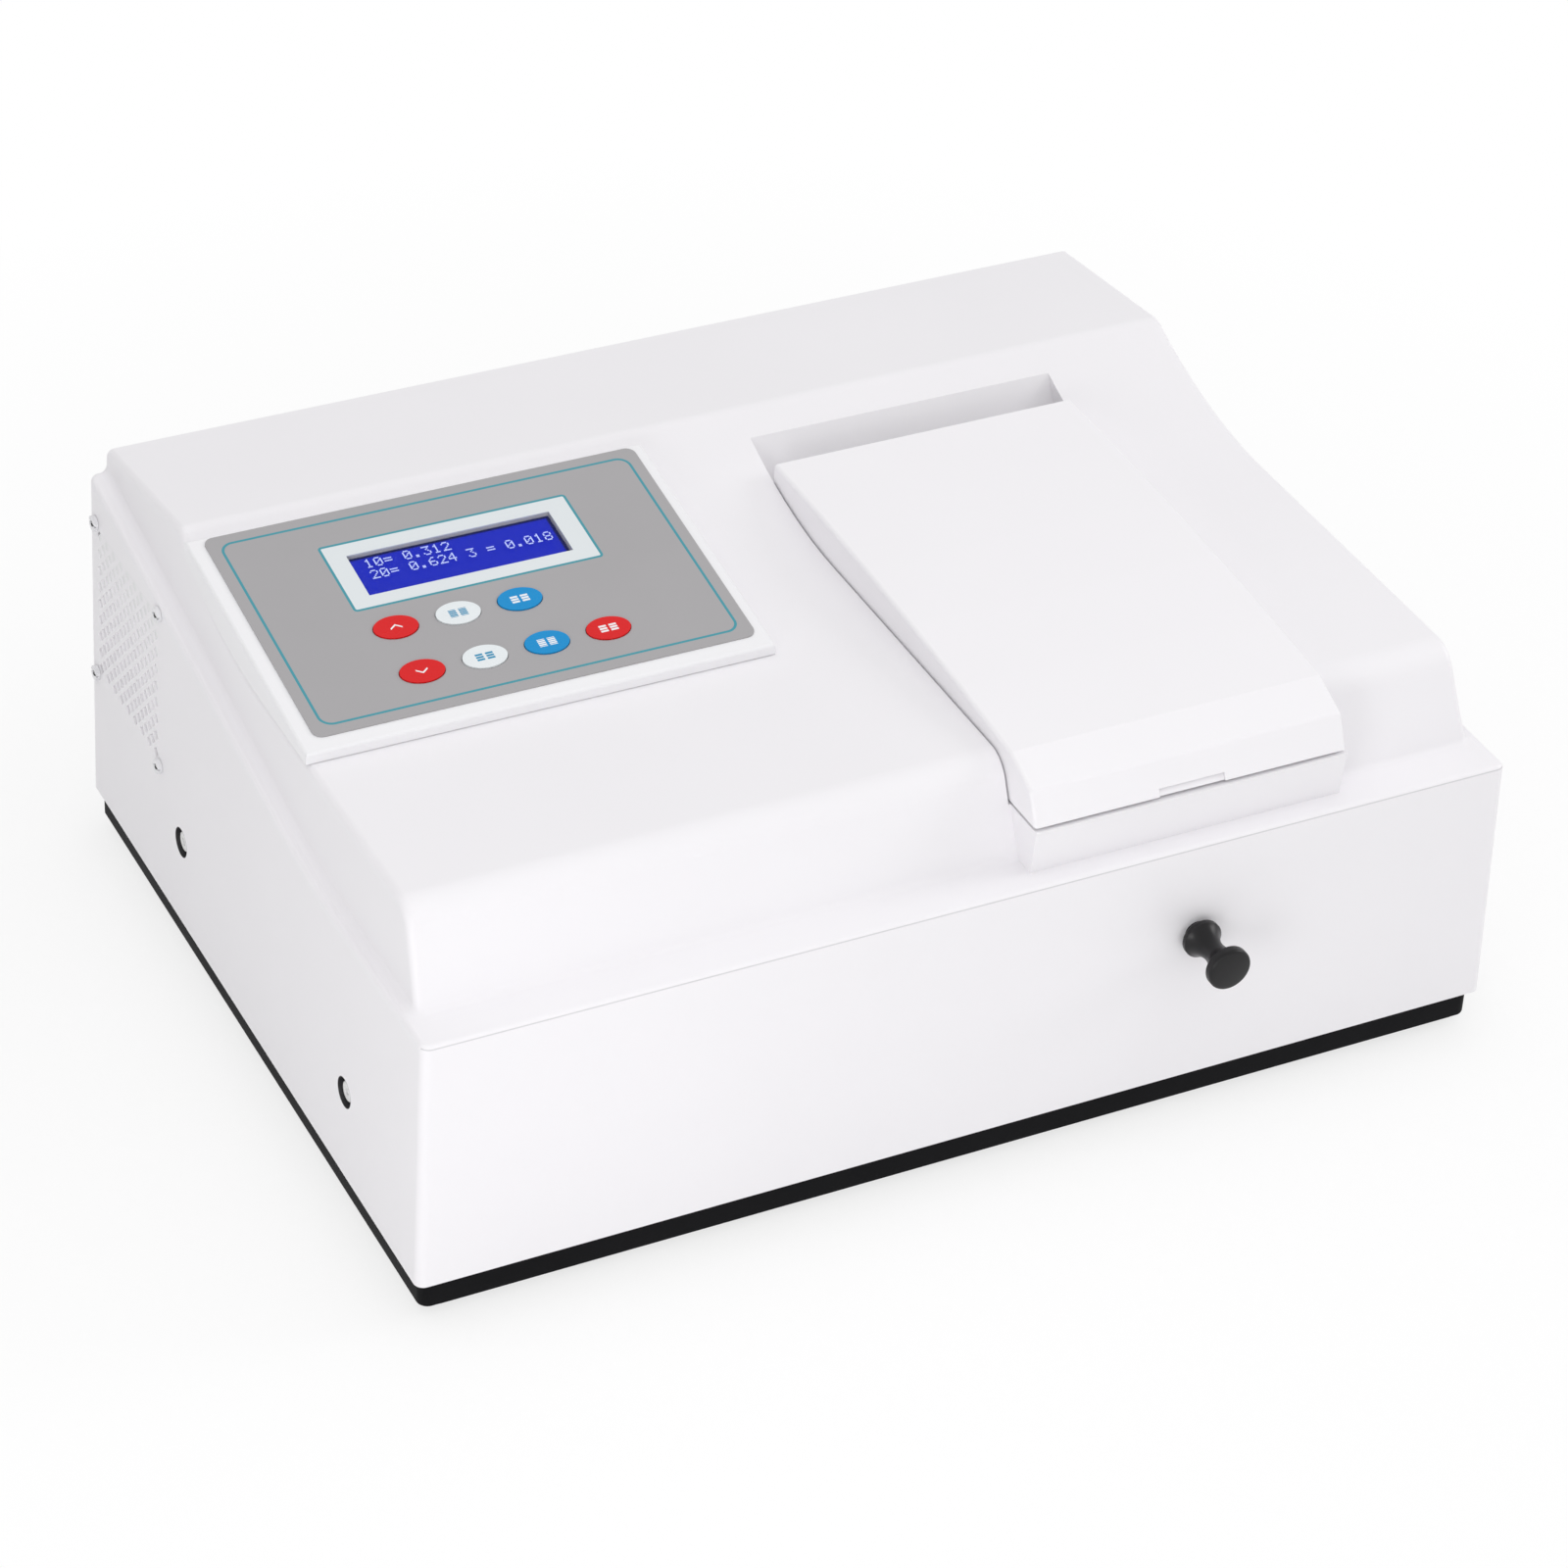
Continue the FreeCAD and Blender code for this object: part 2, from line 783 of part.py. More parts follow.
def make_top_cover():
    outside = cover_form()
    inside = joined(skirt(s.cover_wall, -5.0), deck(s.cover_wall, 60.0), name="cover_inside")
    bump_inside = bump_block(s.cover_wall, s.shoulder_height - 10)
    shell = cut(outside, inside, bump_inside)
    pan_x = (pan_left - s.pan_wall, pan_right + s.pan_wall)
    pan = profile("YZ", pan_side(s.pan_wall), pan_x[0], pan_x[1], "pan")
    step = box(pan_x, (bump_front, pan_step), (level(bump_top) - s.pan_wall, high))
    walls = common(outside, joined(pan, step))
    solid = joined(shell, walls, name="cover_with_pan")
    cups = [cylinder("X", s.cup_radius + s.cup_wall, span, (y, level(s.cup_height)), "cup")
            for y in (s.cup_front_y, s.cup_rear_y)
            for span in ((-half_width + s.cover_wall / 2 + side_in(s.cup_height), -cup_end_x),
                         (cup_end_x, half_width - s.cover_wall / 2 - side_in(s.cup_height)))]
    bosses = [cylinder("X", s.fan_boss_radius, (-half_width + s.cover_wall / 2 + side_in(z), fan_face),
                       (y, level(z)), "fan_boss") for y, z in fan_bolt_places()]
    solid = joined(solid, *cups, *bosses, name="cover_with_cups")
    beyond = half_width + 5
    cup_hollows = [cylinder("X", s.cup_radius, span, (y, level(s.cup_height)), "cup_hollow")
                   for y in (s.cup_front_y, s.cup_rear_y)
                   for span in ((-beyond, -cup_floor_x), (cup_floor_x, beyond))]
    screw_holes = [cylinder("X", s.cover_screw_radius + s.screw_clearance, (-beyond, beyond),
                            (y, level(s.cup_height)), "cup_hole")
                   for y in (s.cup_front_y, s.cup_rear_y)]
    recess = profile("YZ", pan_side(NO_INSET), pan_left, pan_right, "recess")
    lip_room = box((pan_left, pan_right), (front - 5, pan_step - s.pan_wall), (level(bump_top), high + 30))
    mouth = box((chamber_left, chamber_right), (mouth_front, mouth_rear),
                (level(s.pan_floor) - s.pan_wall - 1, level(s.pan_floor) + 1))
    rod_hole = cylinder("Y", s.rod_radius + s.rod_hole_gap, (front - 1, front + s.cover_wall + 3),
                        rod_place)
    bezel_right = s.bezel_left + s.bezel_width
    bezel_rear = s.bezel_front + s.bezel_length
    keypad_hole = box((s.bezel_left + s.keypad_hole_margin, bezel_right - s.keypad_hole_margin),
                      (s.bezel_front + s.keypad_hole_front, bezel_rear - s.keypad_hole_front),
                      (level(s.deck_height) - 20, high))
    rear_window = box((panel_left + s.window_rim, panel_right - s.window_rim), (rear - 5, rear + 5),
                      (foot_z + s.window_rim, level(s.panel_height - s.window_rim)))
    bolt_radius = s.fan_screw_radius + s.screw_clearance
    bolt_holes = [cylinder("X", bolt_radius, (-beyond, fan_face + 1), (y, level(z)))
                  for y, z in fan_bolt_places()]
    tools = cup_hollows + screw_holes + bolt_holes
    tools += [recess, lip_room, mouth, rod_hole, keypad_hole, rear_window]
    solid = cut(solid, *tools, name="cover_cut")
    vented = doc.addObject("Part::Cut", fresh("cover_vented"))
    vented.Base = solid
    vented.Tool = vent_holes()
    return vented


keep("top_cover", make_top_cover())


# Cast base with its hollow underside, feet and foot screws
foot_places = [(s.foot_spread_x * a, s.foot_spread_y * b) for a, b in both_ways(sides, sides)]
panel_y = (panel_face - s.panel_thickness, panel_face)
foot_y = panel_y[0] - s.panel_foot
panel_screw_places = [(panel_left + s.panel_width * a, foot_y + s.panel_foot / 2) for a in (0.12, 0.5, 0.88)]


def make_base_plate():
    left, right = -half_width + s.base_side_inset, half_width - s.base_side_inset
    ahead = front + s.base_front_inset
    slab = profile("XY", [(left, ahead), (right, ahead), (right, panel_face), (left, panel_face)],
                   s.foot_height, foot_z, "base_slab")
    corners = [near_line(x, y, "Z") for x in (left, right) for y in (ahead, panel_face)]
    round_edges(slab, lambda edge: any(choose(edge) for choose in corners), s.corner_radius)
    rim = s.base_rim
    top = foot_z - s.base_skin
    hollow = box((left + rim, right - rim), (ahead + rim, panel_face - rim), (s.foot_height - 1, top))
    bosses = [cylinder("Z", s.foot_radius + s.base_rim / 2, (s.foot_height, top + 1), place)
              for place in foot_places]
    ribs = [box((left + rim / 2, right - rim / 2), (y - rim / 2, y + rim / 2), (s.foot_height + 1, top + 1))
            for y in (-s.foot_spread_y, as_size(0.0), s.foot_spread_y)]
    ribs += [box((x - rim / 2, x + rim / 2), (ahead + rim / 2, panel_face - rim / 2),
                 (s.foot_height + 1, top + 1)) for x in (-s.foot_spread_x, as_size(0.0), s.foot_spread_x)]
    holes = [cylinder("Z", s.cover_screw_radius + s.run_gap, (s.foot_height - 1, foot_z + 1), place)
             for place in foot_places]
    blind = (foot_z - s.panel_screw_depth - s.flat_gap, foot_z + 1)
    holes += [cylinder("Z", s.cover_screw_radius + s.run_gap, blind, place) for place in panel_screw_places]
    body = joined(cut(slab, hollow), *bosses, *ribs, name="base_ribbed")
    return cut(body, *holes, name="base")


keep("base_plate", make_base_plate())


def make_foot(place):
    rubber = cone("Z", (s.foot_radius - 2, s.foot_radius), (0.0, s.foot_height), place, "foot")
    well = cylinder("Z", s.screw_head_radius + 0.5, (-1.0, s.foot_height * 0.6), place)
    hole = cylinder("Z", s.cover_screw_radius + s.screw_clearance, (0.0, s.foot_height + 1), place)
    return cut(rubber, well, hole)


def make_foot_screw(place):
    seat = s.foot_height * 0.6
    head = cylinder("Z", s.screw_head_radius, (seat - s.screw_head_height, seat), place)
    shank = cylinder("Z", s.cover_screw_radius, (seat, foot_z - s.flat_gap), place)
    return joined(head, shank)


keep("rubber_feet", group([make_foot(place) for place in foot_places]))
keep("foot_screws", group([make_foot_screw(place) for place in foot_places]))


# Angle brackets inside the cover, and the screws that hold the cover to them
def make_bracket(side, y):
    plate = s.bracket_thickness
    near, far = cup_end_x - plate, cup_end_x
    upright = (near, far) if side > 0 else (-far, -near)
    flat = (far - s.bracket_foot, far) if side > 0 else (-far, -far + s.bracket_foot)
    wide = (y - s.bracket_width / 2, y + s.bracket_width / 2)
    wall = box(upright, wide, (foot_z, level(s.cup_height) + s.bracket_width / 2))
    shelf = box(flat, wide, (foot_z, foot_z + plate))
    span = (near - 1, far + 1) if side > 0 else (-far - 1, -near + 1)
    hole = cylinder("X", s.cover_screw_radius + s.run_gap, span, (y, level(s.cup_height)))
    return cut(joined(wall, shelf), hole)


def make_cover_screw(side, y):
    seat = cup_floor_x * side
    tip = (cup_end_x - s.bracket_thickness - 4) * side
    out = (cup_floor_x + s.screw_head_height) * side
    head_span = (seat, out) if side > 0 else (out, seat)
    shank_span = (tip, seat) if side > 0 else (seat, tip)
    place = (y, level(s.cup_height))
    head = cylinder("X", s.screw_head_radius, head_span, place)
    shank = cylinder("X", s.cover_screw_radius, shank_span, place)
    slot_x = (out - 1, out + 1)
    slot = box(slot_x, (y - s.screw_head_radius * 0.7, y + s.screw_head_radius * 0.7),
               (level(s.cup_height) - 0.5, level(s.cup_height) + 0.5))
    other = box(slot_x, (y - 0.5, y + 0.5), (level(s.cup_height) - s.screw_head_radius * 0.7,
                                             level(s.cup_height) + s.screw_head_radius * 0.7))
    return cut(joined(head, shank), slot, other)


cup_places = both_ways(sides, (s.cup_front_y, s.cup_rear_y))
keep("cover_brackets", group([make_bracket(side, y) for side, y in cup_places]))
keep("cover_screws", group([make_cover_screw(side, y) for side, y in cup_places]))


# Lid over the sample chamber
hinge_z = level(s.hinge_height)
lid_bend = front + s.lid_bend_setback
lid_brow = front + s.lid_brow_setback
lid_lip = front + s.lid_lip_setback
lug_places = [(s.lid_left + s.hinge_inset, 1), (lid_right - s.hinge_inset, -1)]


CROWN_PARTS = 5


def lid_side(inset, drop):
    """Side view of the lid: crowned top, bent brow and front lip."""
    under = s.lid_lip_height - drop
    lip = (lid_lip + inset * 1.1, level(s.lid_lip_height))
    start = [lip] if drop is NO_INSET else [(lip[0], level(under)), lip]
    run = s.lid_rear - lid_bend
    rise = s.lid_rear_height - s.lid_bend_height
    parts = [k / CROWN_PARTS for k in range(1, CROWN_PARTS)]
    bend_z = level(s.lid_bend_height) - inset
    crown = [(lid_bend + run * p, bend_z + rise * p + s.lid_crown * (4 * p * (1 - p))) for p in parts]
    return start + [
        (lid_brow + inset * 0.8, level(s.lid_brow_height) - inset * 0.6),
        (lid_bend + inset * 0.3, level(s.lid_bend_height) - inset),
        *crown,
        (s.lid_rear - inset, level(s.lid_rear_height) - inset),
        (s.lid_rear - inset, level(s.pan_floor) - drop + s.lid_heel),
        (s.hinge_y - s.hinge_eye_radius * 2, level(s.pan_floor) - drop + s.lid_heel),
        (s.hinge_y - s.hinge_eye_radius * 2, level(s.pan_floor) - drop + s.lid_rise),
        (pan_step - s.pan_wall - s.lid_rise, level(s.pan_floor) - drop + s.lid_rise),
        (pan_step - s.pan_wall - s.lid_rise, level(under)),
    ]


def on_lid_edge(edge):
    """Edges where the lid's top and front turn down into its sides."""
    box_ = edge.BoundBox
    aside = box_.XLength < 1 and (abs(box_.Center.x - s.lid_left.number) < 1
                                  or abs(box_.Center.x - lid_right.number) < 1)
    upper = box_.Center.z > level(s.lid_bend_height).number - 1 and runs_back(edge)
    ahead = box_.Center.y < lid_bend.number + 3 and box_.ZLength > 0.5
    brow = box_.ZMin > level(s.lid_lip_height).number - 1 and box_.YMin < pan_step.number - 8
    return aside and (upper or (ahead and brow)) and box_.YLength > 0.2


def make_lid():
    outside = profile("YZ", lid_side(NO_INSET, NO_INSET), s.lid_left, lid_right, "lid_outside")
    round_edges(outside, near_line(lid_brow, level(s.lid_brow_height)), s.lid_brow_radius)
    inside = profile("YZ", lid_side(s.lid_wall, s.lid_wall * 4), s.lid_left + s.lid_wall,
                     lid_right - s.lid_wall, "lid_inside")
    rounded = filleted(outside, on_lid_edge, s.lid_edge_radius, "lid_rounded")
    heel_gap = box((s.lid_left + s.lid_wall, lid_right - s.lid_wall),
                   (s.lid_rear - s.lid_wall - 1, s.lid_rear + 1), (level(s.pan_floor), hinge_z + s.lid_wall))
    shell = cut(rounded, inside, heel_gap, name="lid_shell")
    top = level(s.lid_rear_height)
    bottom = level(s.pan_floor) + s.flat_gap + s.lid_seal_height
    frame = mouth_frame(s.rim_gap, s.rim_wall, (bottom, top))
    lugs = []
    holes = []
    for place, way in lug_places:
        span = (place, place + s.lug_width) if way > 0 else (place - s.lug_width, place)
        lugs.append(cylinder("X", s.hinge_eye_radius, span, (s.hinge_y, hinge_z)))
        eye_y = (s.hinge_y - s.hinge_eye_radius, s.hinge_y + s.hinge_eye_radius)
        lugs.append(box(span, eye_y, (hinge_z, top)))
        wide = (span[0] - 1, span[1] + 1)
        holes.append(cylinder("X", s.hinge_pin_radius + s.run_gap, wide, (s.hinge_y, hinge_z)))
    ribs = common(joined(frame, *lugs), rounded, name="lid_ribs")
    notch = box((lid_middle - s.notch_width / 2, lid_middle + s.notch_width / 2),
                (lid_lip - 1, lid_lip + s.lid_wall * 2),
                (level(s.lid_lip_height) - 1, level(s.lid_lip_height) + s.notch_height))
    return cut(joined(shell, ribs, name="lid_whole"), *holes, notch, name="lid")


def mouth_frame(gap, wall, height):
    """Rectangular frame round the chamber's mouth."""
    inner = box((chamber_left - gap, chamber_right + gap), (mouth_front - gap, mouth_rear + gap),
                (height[0] - 1, as_size(height[1]) + 1))
    outer = box((chamber_left - gap - wall, chamber_right + gap + wall),
                (mouth_front - gap - wall, mouth_rear + gap + wall), height)
    return cut(outer, inner)


def make_hinge_posts():
    posts = []
    for place, way in lug_places:
        near, far = place - way * s.hinge_slack, place - way * (s.hinge_slack + s.post_width)
        span = (far, near) if way > 0 else (near, far)
        eye = cylinder("X", s.hinge_eye_radius, span, (s.hinge_y, hinge_z))
        leg = box(span, (s.hinge_y - s.hinge_eye_radius, s.hinge_y + 1), (level(s.pan_floor), hinge_z))
        hole = cylinder("X", s.hinge_pin_radius, (span[0] - 1, span[1] + 1), (s.hinge_y, hinge_z))
        posts.append(cut(joined(eye, leg), hole))
    return group(posts)


def make_hinge_pins():
    pins = []
    for place, way in lug_places:
        outer = place - way * (s.hinge_slack + s.post_width)
        inner = place + way * (s.lug_width + s.hinge_slack)
        span = (outer, inner) if way > 0 else (inner, outer)
        pins.append(cylinder("X", s.hinge_pin_radius, span, (s.hinge_y, hinge_z), "pin"))
    return group(pins)


keep("sample_lid", make_lid())
seal_base = level(s.pan_floor) + s.flat_gap
keep("lid_seal", mouth_frame(s.rim_gap - s.seal_overhang, s.rim_wall + s.seal_overhang * 2,
                             (seal_base, seal_base + s.lid_seal_height)))
keep("hinge_posts", make_hinge_posts())
keep("lid_hinge_pins", make_hinge_pins())


# Sample chamber: a casting with a tub above and a hollow skirt that stands on the base
chamber_x = (chamber_left - s.chamber_wall, chamber_right + s.chamber_wall)
chamber_y = (chamber_front - s.chamber_wall, chamber_rear + s.chamber_wall)
chamber_top = level(s.pan_floor) - s.pan_wall - s.chamber_seal_height


def make_chamber():
    block = box(chamber_x, chamber_y, (foot_z, chamber_top), "chamber")
    tub = box((chamber_left, chamber_right), (chamber_front, chamber_rear),
              (level(s.chamber_floor), chamber_top + 1))
    under = box((chamber_left, chamber_right), (chamber_front, chamber_rear),
                (foot_z - 1, level(s.chamber_floor) - s.chamber_wall))
    beam = cylinder("X", s.beam_radius, (chamber_x[0] - 1, chamber_x[1] + 1),
                    (s.beam_y, level(s.beam_height)))
    rod_way = cylinder("Y", s.bush_radius - 2, (chamber_y[0] - 1, chamber_front + 1),
                       rod_place)
    return cut(block, tub, under, beam, rod_way, name="chamber")


keep("sample_chamber", make_chamber())
chamber_seal_z = (chamber_top, level(s.pan_floor) - s.pan_wall)
keep("chamber_seal", mouth_frame(as_size(0.0), s.chamber_wall, chamber_seal_z))


def make_rod_bush():
    flange = cylinder("Y", s.bush_radius, (chamber_y[0] - 3, chamber_y[0]), rod_place)
    sleeve = cylinder("Y", s.bush_radius - 2, (chamber_y[0], chamber_front), rod_place)
    bore = cylinder("Y", s.rod_radius + s.run_gap, (chamber_y[0] - 4, chamber_front + 1),
                    rod_place)
    return cut(joined(flange, sleeve), bore)


keep("rod_bush", make_rod_bush())
rail_x = [lid_middle + s.rail_spacing / 2 * a for a in sides]
keep("guide_rails", group([cylinder("Y", s.rail_radius, (chamber_front, chamber_rear),
                                    (x, level(s.rail_height)), "rail") for x in rail_x]))


# Four-cell rack on the rails, with its pull rod and knob
rack_front = s.beam_y - s.cell_pitch / 2
rack_rear = rack_front + s.cell_pitch * 4
cell_centres = [s.beam_y + s.cell_pitch * k for k in range(4)]


def make_rack():
    margin = s.rail_radius * 2
    slide = box((rail_x[0] - margin, rail_x[1] + margin), (rack_front, rack_rear),
                (level(s.rail_height) - s.rail_radius * 1.4, level(s.rack_floor)))
    tower = box((lid_middle - s.rack_width / 2, lid_middle + s.rack_width / 2), (rack_front, rack_rear),
                (level(s.rack_floor) - 1, level(s.rack_top)))
    length = (rack_front - 1, rack_rear + 1)
    bores = [cylinder("Y", s.rail_radius + s.run_gap, length, (x, level(s.rail_height))) for x in rail_x]
    half = s.cell_size / 2
    wells = [box((lid_middle - half, lid_middle + half), (y - half, y + half),
                 (level(s.rack_floor) + s.rack_web, level(s.rack_top) + 1), "well") for y in cell_centres]
    window_z = (level(s.beam_height) - s.window_height / 2, level(s.beam_height) + s.window_height / 2)
    windows = [box((lid_middle - s.rack_width / 2 - 1, lid_middle + s.rack_width / 2 + 1),
                   (y - s.window_width / 2, y + s.window_width / 2), window_z, "slot") for y in cell_centres]
    return cut(joined(slide, tower), *bores, *wells, *windows, name="rack")


knob_back = wall_y_at_rod - s.knob_gap
knob_face = knob_back - s.knob_length
knob_bore = s.knob_length * 0.45


def make_knob():
    """Spool turned about the rod's axis: back flange, narrow waist and a wider face."""
    body = doc.addObject("PartDesign::Body", fresh("knob"))
    length = s.knob_length
    face = s.knob_face_radius
    back = s.knob_back_radius
    lip = s.knob_lip
    waist_rise = back - s.knob_waist_radius
    half = (length - lip * 4.4) / 2
    bend = (half * half + waist_rise * waist_rise) / (waist_rise * 2)
    outline = [
        (0.0, s.rod_radius), (0.0, back - lip * 0.6), (lip * 0.6, back), (lip * 1.6, back, -bend),
        (length - lip * 2.8, back), (length - lip * 2.0, face), (length - lip * 0.6, face),
        (length, face - lip * 0.8), (length, 0.0), (knob_bore, 0.0), (knob_bore, s.rod_radius),
    ]
    sketch = sketch_on(body, "XY", outline)
    turn = body.newObject("PartDesign::Revolution", fresh("turn"))
    turn.Profile = sketch
    turn.ReferenceAxis = (sketch, ["H_Axis"])
    turn.Angle = 360
    body.Tip = turn
    body.Placement = Placement(Vector(), Rotation(Vector(0, 0, 1), -90))
    bind_base(body, rod_place[0], knob_back, rod_place[1])
    return body


keep("cell_rack", make_rack())
keep("pull_rod", cylinder("Y", s.rod_radius, (knob_back - knob_bore, rack_front),
                          rod_place, "pull_rod"))
keep("pull_knob", make_knob())


# Keypad bezel: a wedge on the slope, with the printed overlay, display and keys on its tilted face
def on_panel(x, along, up):
    """Place on the tilted face: x from its left edge, along it from its front edge, up off its surface."""
    return (s.bezel_left + x,
            s.bezel_front + as_size(along) * cosine(s.bezel_tilt) - as_size(up) * sine(s.bezel_tilt),
            level(s.bezel_front_height) + as_size(along) * sine(s.bezel_tilt)
            + as_size(up) * cosine(s.bezel_tilt))


def tilt(item, x, along, up):
    item.Placement = Placement(Vector(), Rotation(Vector(1, 0, 0), s.bezel_tilt.number))
    bind_base(item, *on_panel(x, along, up))
    return item


def panel_box(x, along, up, name="panel_block"):
    item = doc.addObject("Part::Box", fresh(name))
    bind(item, "Length", as_size(x[1]) - x[0])
    bind(item, "Width", as_size(along[1]) - along[0])
    bind(item, "Height", as_size(up[1]) - up[0])
    return tilt(item, x[0], along[0], up[0])


def panel_round(x, along, radius, up, name="panel_round"):
    item = doc.addObject("Part::Cylinder", fresh(name))
    bind(item, "Radius", radius)
    bind(item, "Height", as_size(up[1]) - up[0])
    return tilt(item, x, along, up[0])


def panel_oval(x, along, grow, up, name="panel_oval"):
    """Oval prism of a key's outline, grown all round."""
    curve = doc.addObject("Part::Ellipse", fresh("oval_line"))
    bind(curve, "MajorRadius", s.key_half_width + grow)
    bind(curve, "MinorRadius", s.key_half_length + grow)
    tilt(curve, x, along, up[0])
    item = doc.addObject("Part::Extrusion", fresh(name))
    item.Base = curve
    item.DirMode = "Normal"
    bind(item, "LengthFwd", as_size(up[1]) - up[0])
    item.Solid = True
    return item


KEYS = {
    "key_up": (0, 1), "key_a": (1, 1), "key_b": (2, 1),
    "key_down": (0, 0), "key_c": (1, 0), "key_d": (2, 0), "key_e": (3, 0),
}
overlay_x = (s.overlay_margin, s.overlay_margin + s.overlay_width)
overlay_front = s.bezel_length - s.overlay_length - s.overlay_rear_margin
overlay_along = (overlay_front, overlay_front + s.overlay_length)
display_x = (s.display_left, s.display_left + s.display_width)
display_along = (overlay_front + s.display_front, overlay_front + s.display_front + s.display_length)
plate_under = -s.bezel_plate


def key_place(column, row):
    return (s.key_left + s.key_pitch_x * column, overlay_front + s.key_front + s.key_pitch_s * row)


def make_bezel():
    g = s.flat_gap
    arc = s.slope_radius - g
    rear_y = s.bezel_front + s.bezel_length * cosine(s.bezel_tilt)
    run = rear_y - s.slope_start
    outline = [
        (s.bezel_front, level(s.deck_height) + g),
        (s.slope_start, level(s.deck_height) + g, -arc),
        (rear_y, level(s.deck_height) + g + arc - root(arc * arc - run * run)),
        (rear_y, level(s.bezel_front_height) + s.bezel_length * sine(s.bezel_tilt)),
        (s.bezel_front, level(s.bezel_front_height)),
    ]
    right = s.bezel_left + s.bezel_width
    solid = profile("YZ", outline, s.bezel_left, right, "bezel_block")
    rims = [near_line(s.bezel_front, level(s.bezel_front_height)),
            near_line(rear_y, level(s.bezel_front_height) + s.bezel_length * sine(s.bezel_tilt))]

    def on_top_rim(edge):
        box_ = edge.BoundBox
        slanted = box_.XLength < 0.01 and box_.ZLength > 10 and box_.YLength > 100
        top_side = slanted and len(edge.Vertexes) == 2 and edge.Curve.TypeId == "Part::GeomLine"
        return top_side or any(choose(edge) for choose in rims)

    round_edges(solid, on_top_rim, s.bezel_radius)
    wall = s.bezel_wall
    hollow = panel_box((wall, s.bezel_width - wall), (wall, s.bezel_length - wall), (-40.0, plate_under))
    window = panel_box(display_x, display_along, (plate_under - 1, 1.0))
    holes = [panel_oval(*key_place(*spot), s.key_gap, (plate_under - 1, 1.0)) for spot in KEYS.values()]
    pillars = [panel_round(x, along, s.pillar_radius, (s.board_top, plate_under + 0.5))
               for x in (board_x[0] + 6, board_x[1] - 6)
               for along in (board_along[0] + 6, board_along[1] - 6)]
    return joined(cut(solid, hollow, window, *holes, name="bezel_open"), *pillars, name="bezel")


board_x = (s.display_left - 20, s.display_left + s.display_width + 20)
board_along = (overlay_front + s.key_front - 12, display_along[1] + 12)


def make_overlay():
    sheet_ = panel_box(overlay_x, overlay_along, (0.0, s.overlay_thickness), "overlay_sheet")
    rounded = filleted(sheet_, lambda edge: edge.Length < 1, s.overlay_radius, "overlay_round")
    window = panel_box(display_x, display_along, (-1.0, s.overlay_thickness + 1))
    holes = [panel_oval(*key_place(*spot), s.key_gap, (-1.0, s.overlay_thickness + 1))
             for spot in KEYS.values()]
    return cut(rounded, window, *holes, name="overlay")


def make_key(column, row):
    """Key cap with the flange that keeps it in, and the stem that presses its switch."""
    x, along = key_place(column, row)
    top = s.overlay_thickness + s.key_proud
    flange_top = plate_under - s.flat_gap
    cap = panel_oval(x, along, 0.0, (flange_top - s.key_flange, top))
    flange = panel_oval(x, along, s.key_flange, (flange_top - s.key_flange, flange_top))
    stem = panel_round(x, along, s.stem_radius,
                       (s.switch_top + s.key_travel + 0.1, flange_top - s.key_flange / 2))
    return joined(cap, flange, stem, name="key")


def make_keypad_board():
    board = panel_box(board_x, board_along, (s.board_top - s.board_thickness, s.board_top))
    switches = []
    for spot in KEYS.values():
        x, along = key_place(*spot)
        half = s.switch_size / 2
        switches.append(panel_box((x - half, x + half), (along - half, along + half),
                                  (s.board_top, s.switch_top - 0.9)))
        switches.append(panel_round(x, along, s.stem_radius, (s.board_top, s.switch_top)))
    return joined(board, *switches, name="keypad_board")


keep("keypad_bezel", make_bezel())
keep("keypad_overlay", make_overlay())
for name, spot in KEYS.items():
    keep(name, make_key(*spot))
keep("keypad_board", make_keypad_board())
keep("display_window", panel_box(display_x, display_along, (-s.window_glass, 0.0)))
display_frame = panel_box((display_x[0] - 7, display_x[1] + 7), (display_along[0] - 6, display_along[1] + 6),
                          (s.board_top, plate_under - s.flat_gap))
display_glass = panel_box((display_x[0] + 0.5, display_x[1] - 0.5),
                          (display_along[0] + 0.5, display_along[1] - 0.5),
                          (plate_under - 1, -s.window_glass))
keep("display_module", joined(display_frame, display_glass, name="display"))


# Monochromator: cast tub with its cover, and the optics on its floor
mono_x = (s.mono_left, s.mono_right)
mono_y = (s.mono_front, s.mono_rear)
mono_floor = foot_z + s.mono_wall
beam_z = level(s.beam_height)


def hollow_box(x, y, z, wall, floor):
    """Open-topped tub."""
    inside = box((x[0] + wall, x[1] - wall), (y[0] + wall, y[1] - wall), (z[0] + floor, z[1] + 1))
    return cut(box(x, y, z), inside)


def corner_places(x, y, inset):
    return [(a, b) for a in (x[0] + inset, x[1] - inset) for b in (y[0] + inset, y[1] - inset)]


def make_mono_housing():
    tub = hollow_box(mono_x, mono_y, (foot_z, level(s.mono_height)), s.mono_wall, s.mono_wall)
    bosses = [cylinder("Z", s.boss_radius, (foot_z + 1, level(s.mono_height)), place)
              for place in corner_places(mono_x, mono_y, s.boss_radius)]
    thread_z = (level(s.mono_height) - 12, level(s.mono_height) + 1)
    threads = [cylinder("Z", s.cover_screw_radius + s.run_gap, thread_z,
                        place) for place in corner_places(mono_x, mono_y, s.boss_radius)]
    rear_wall = (mono_y[1] - s.mono_wall - 1, mono_y[1] + 1)
    way_in = cylinder("Y", s.beam_radius, rear_wall, (s.entrance_x, beam_z))
    way_out = cylinder("X", s.beam_radius, (mono_x[1] - s.mono_wall - 1, mono_x[1] + 1), (s.beam_y, beam_z))
    return cut(joined(tub, *bosses), way_in, way_out, *threads, name="mono_housing")


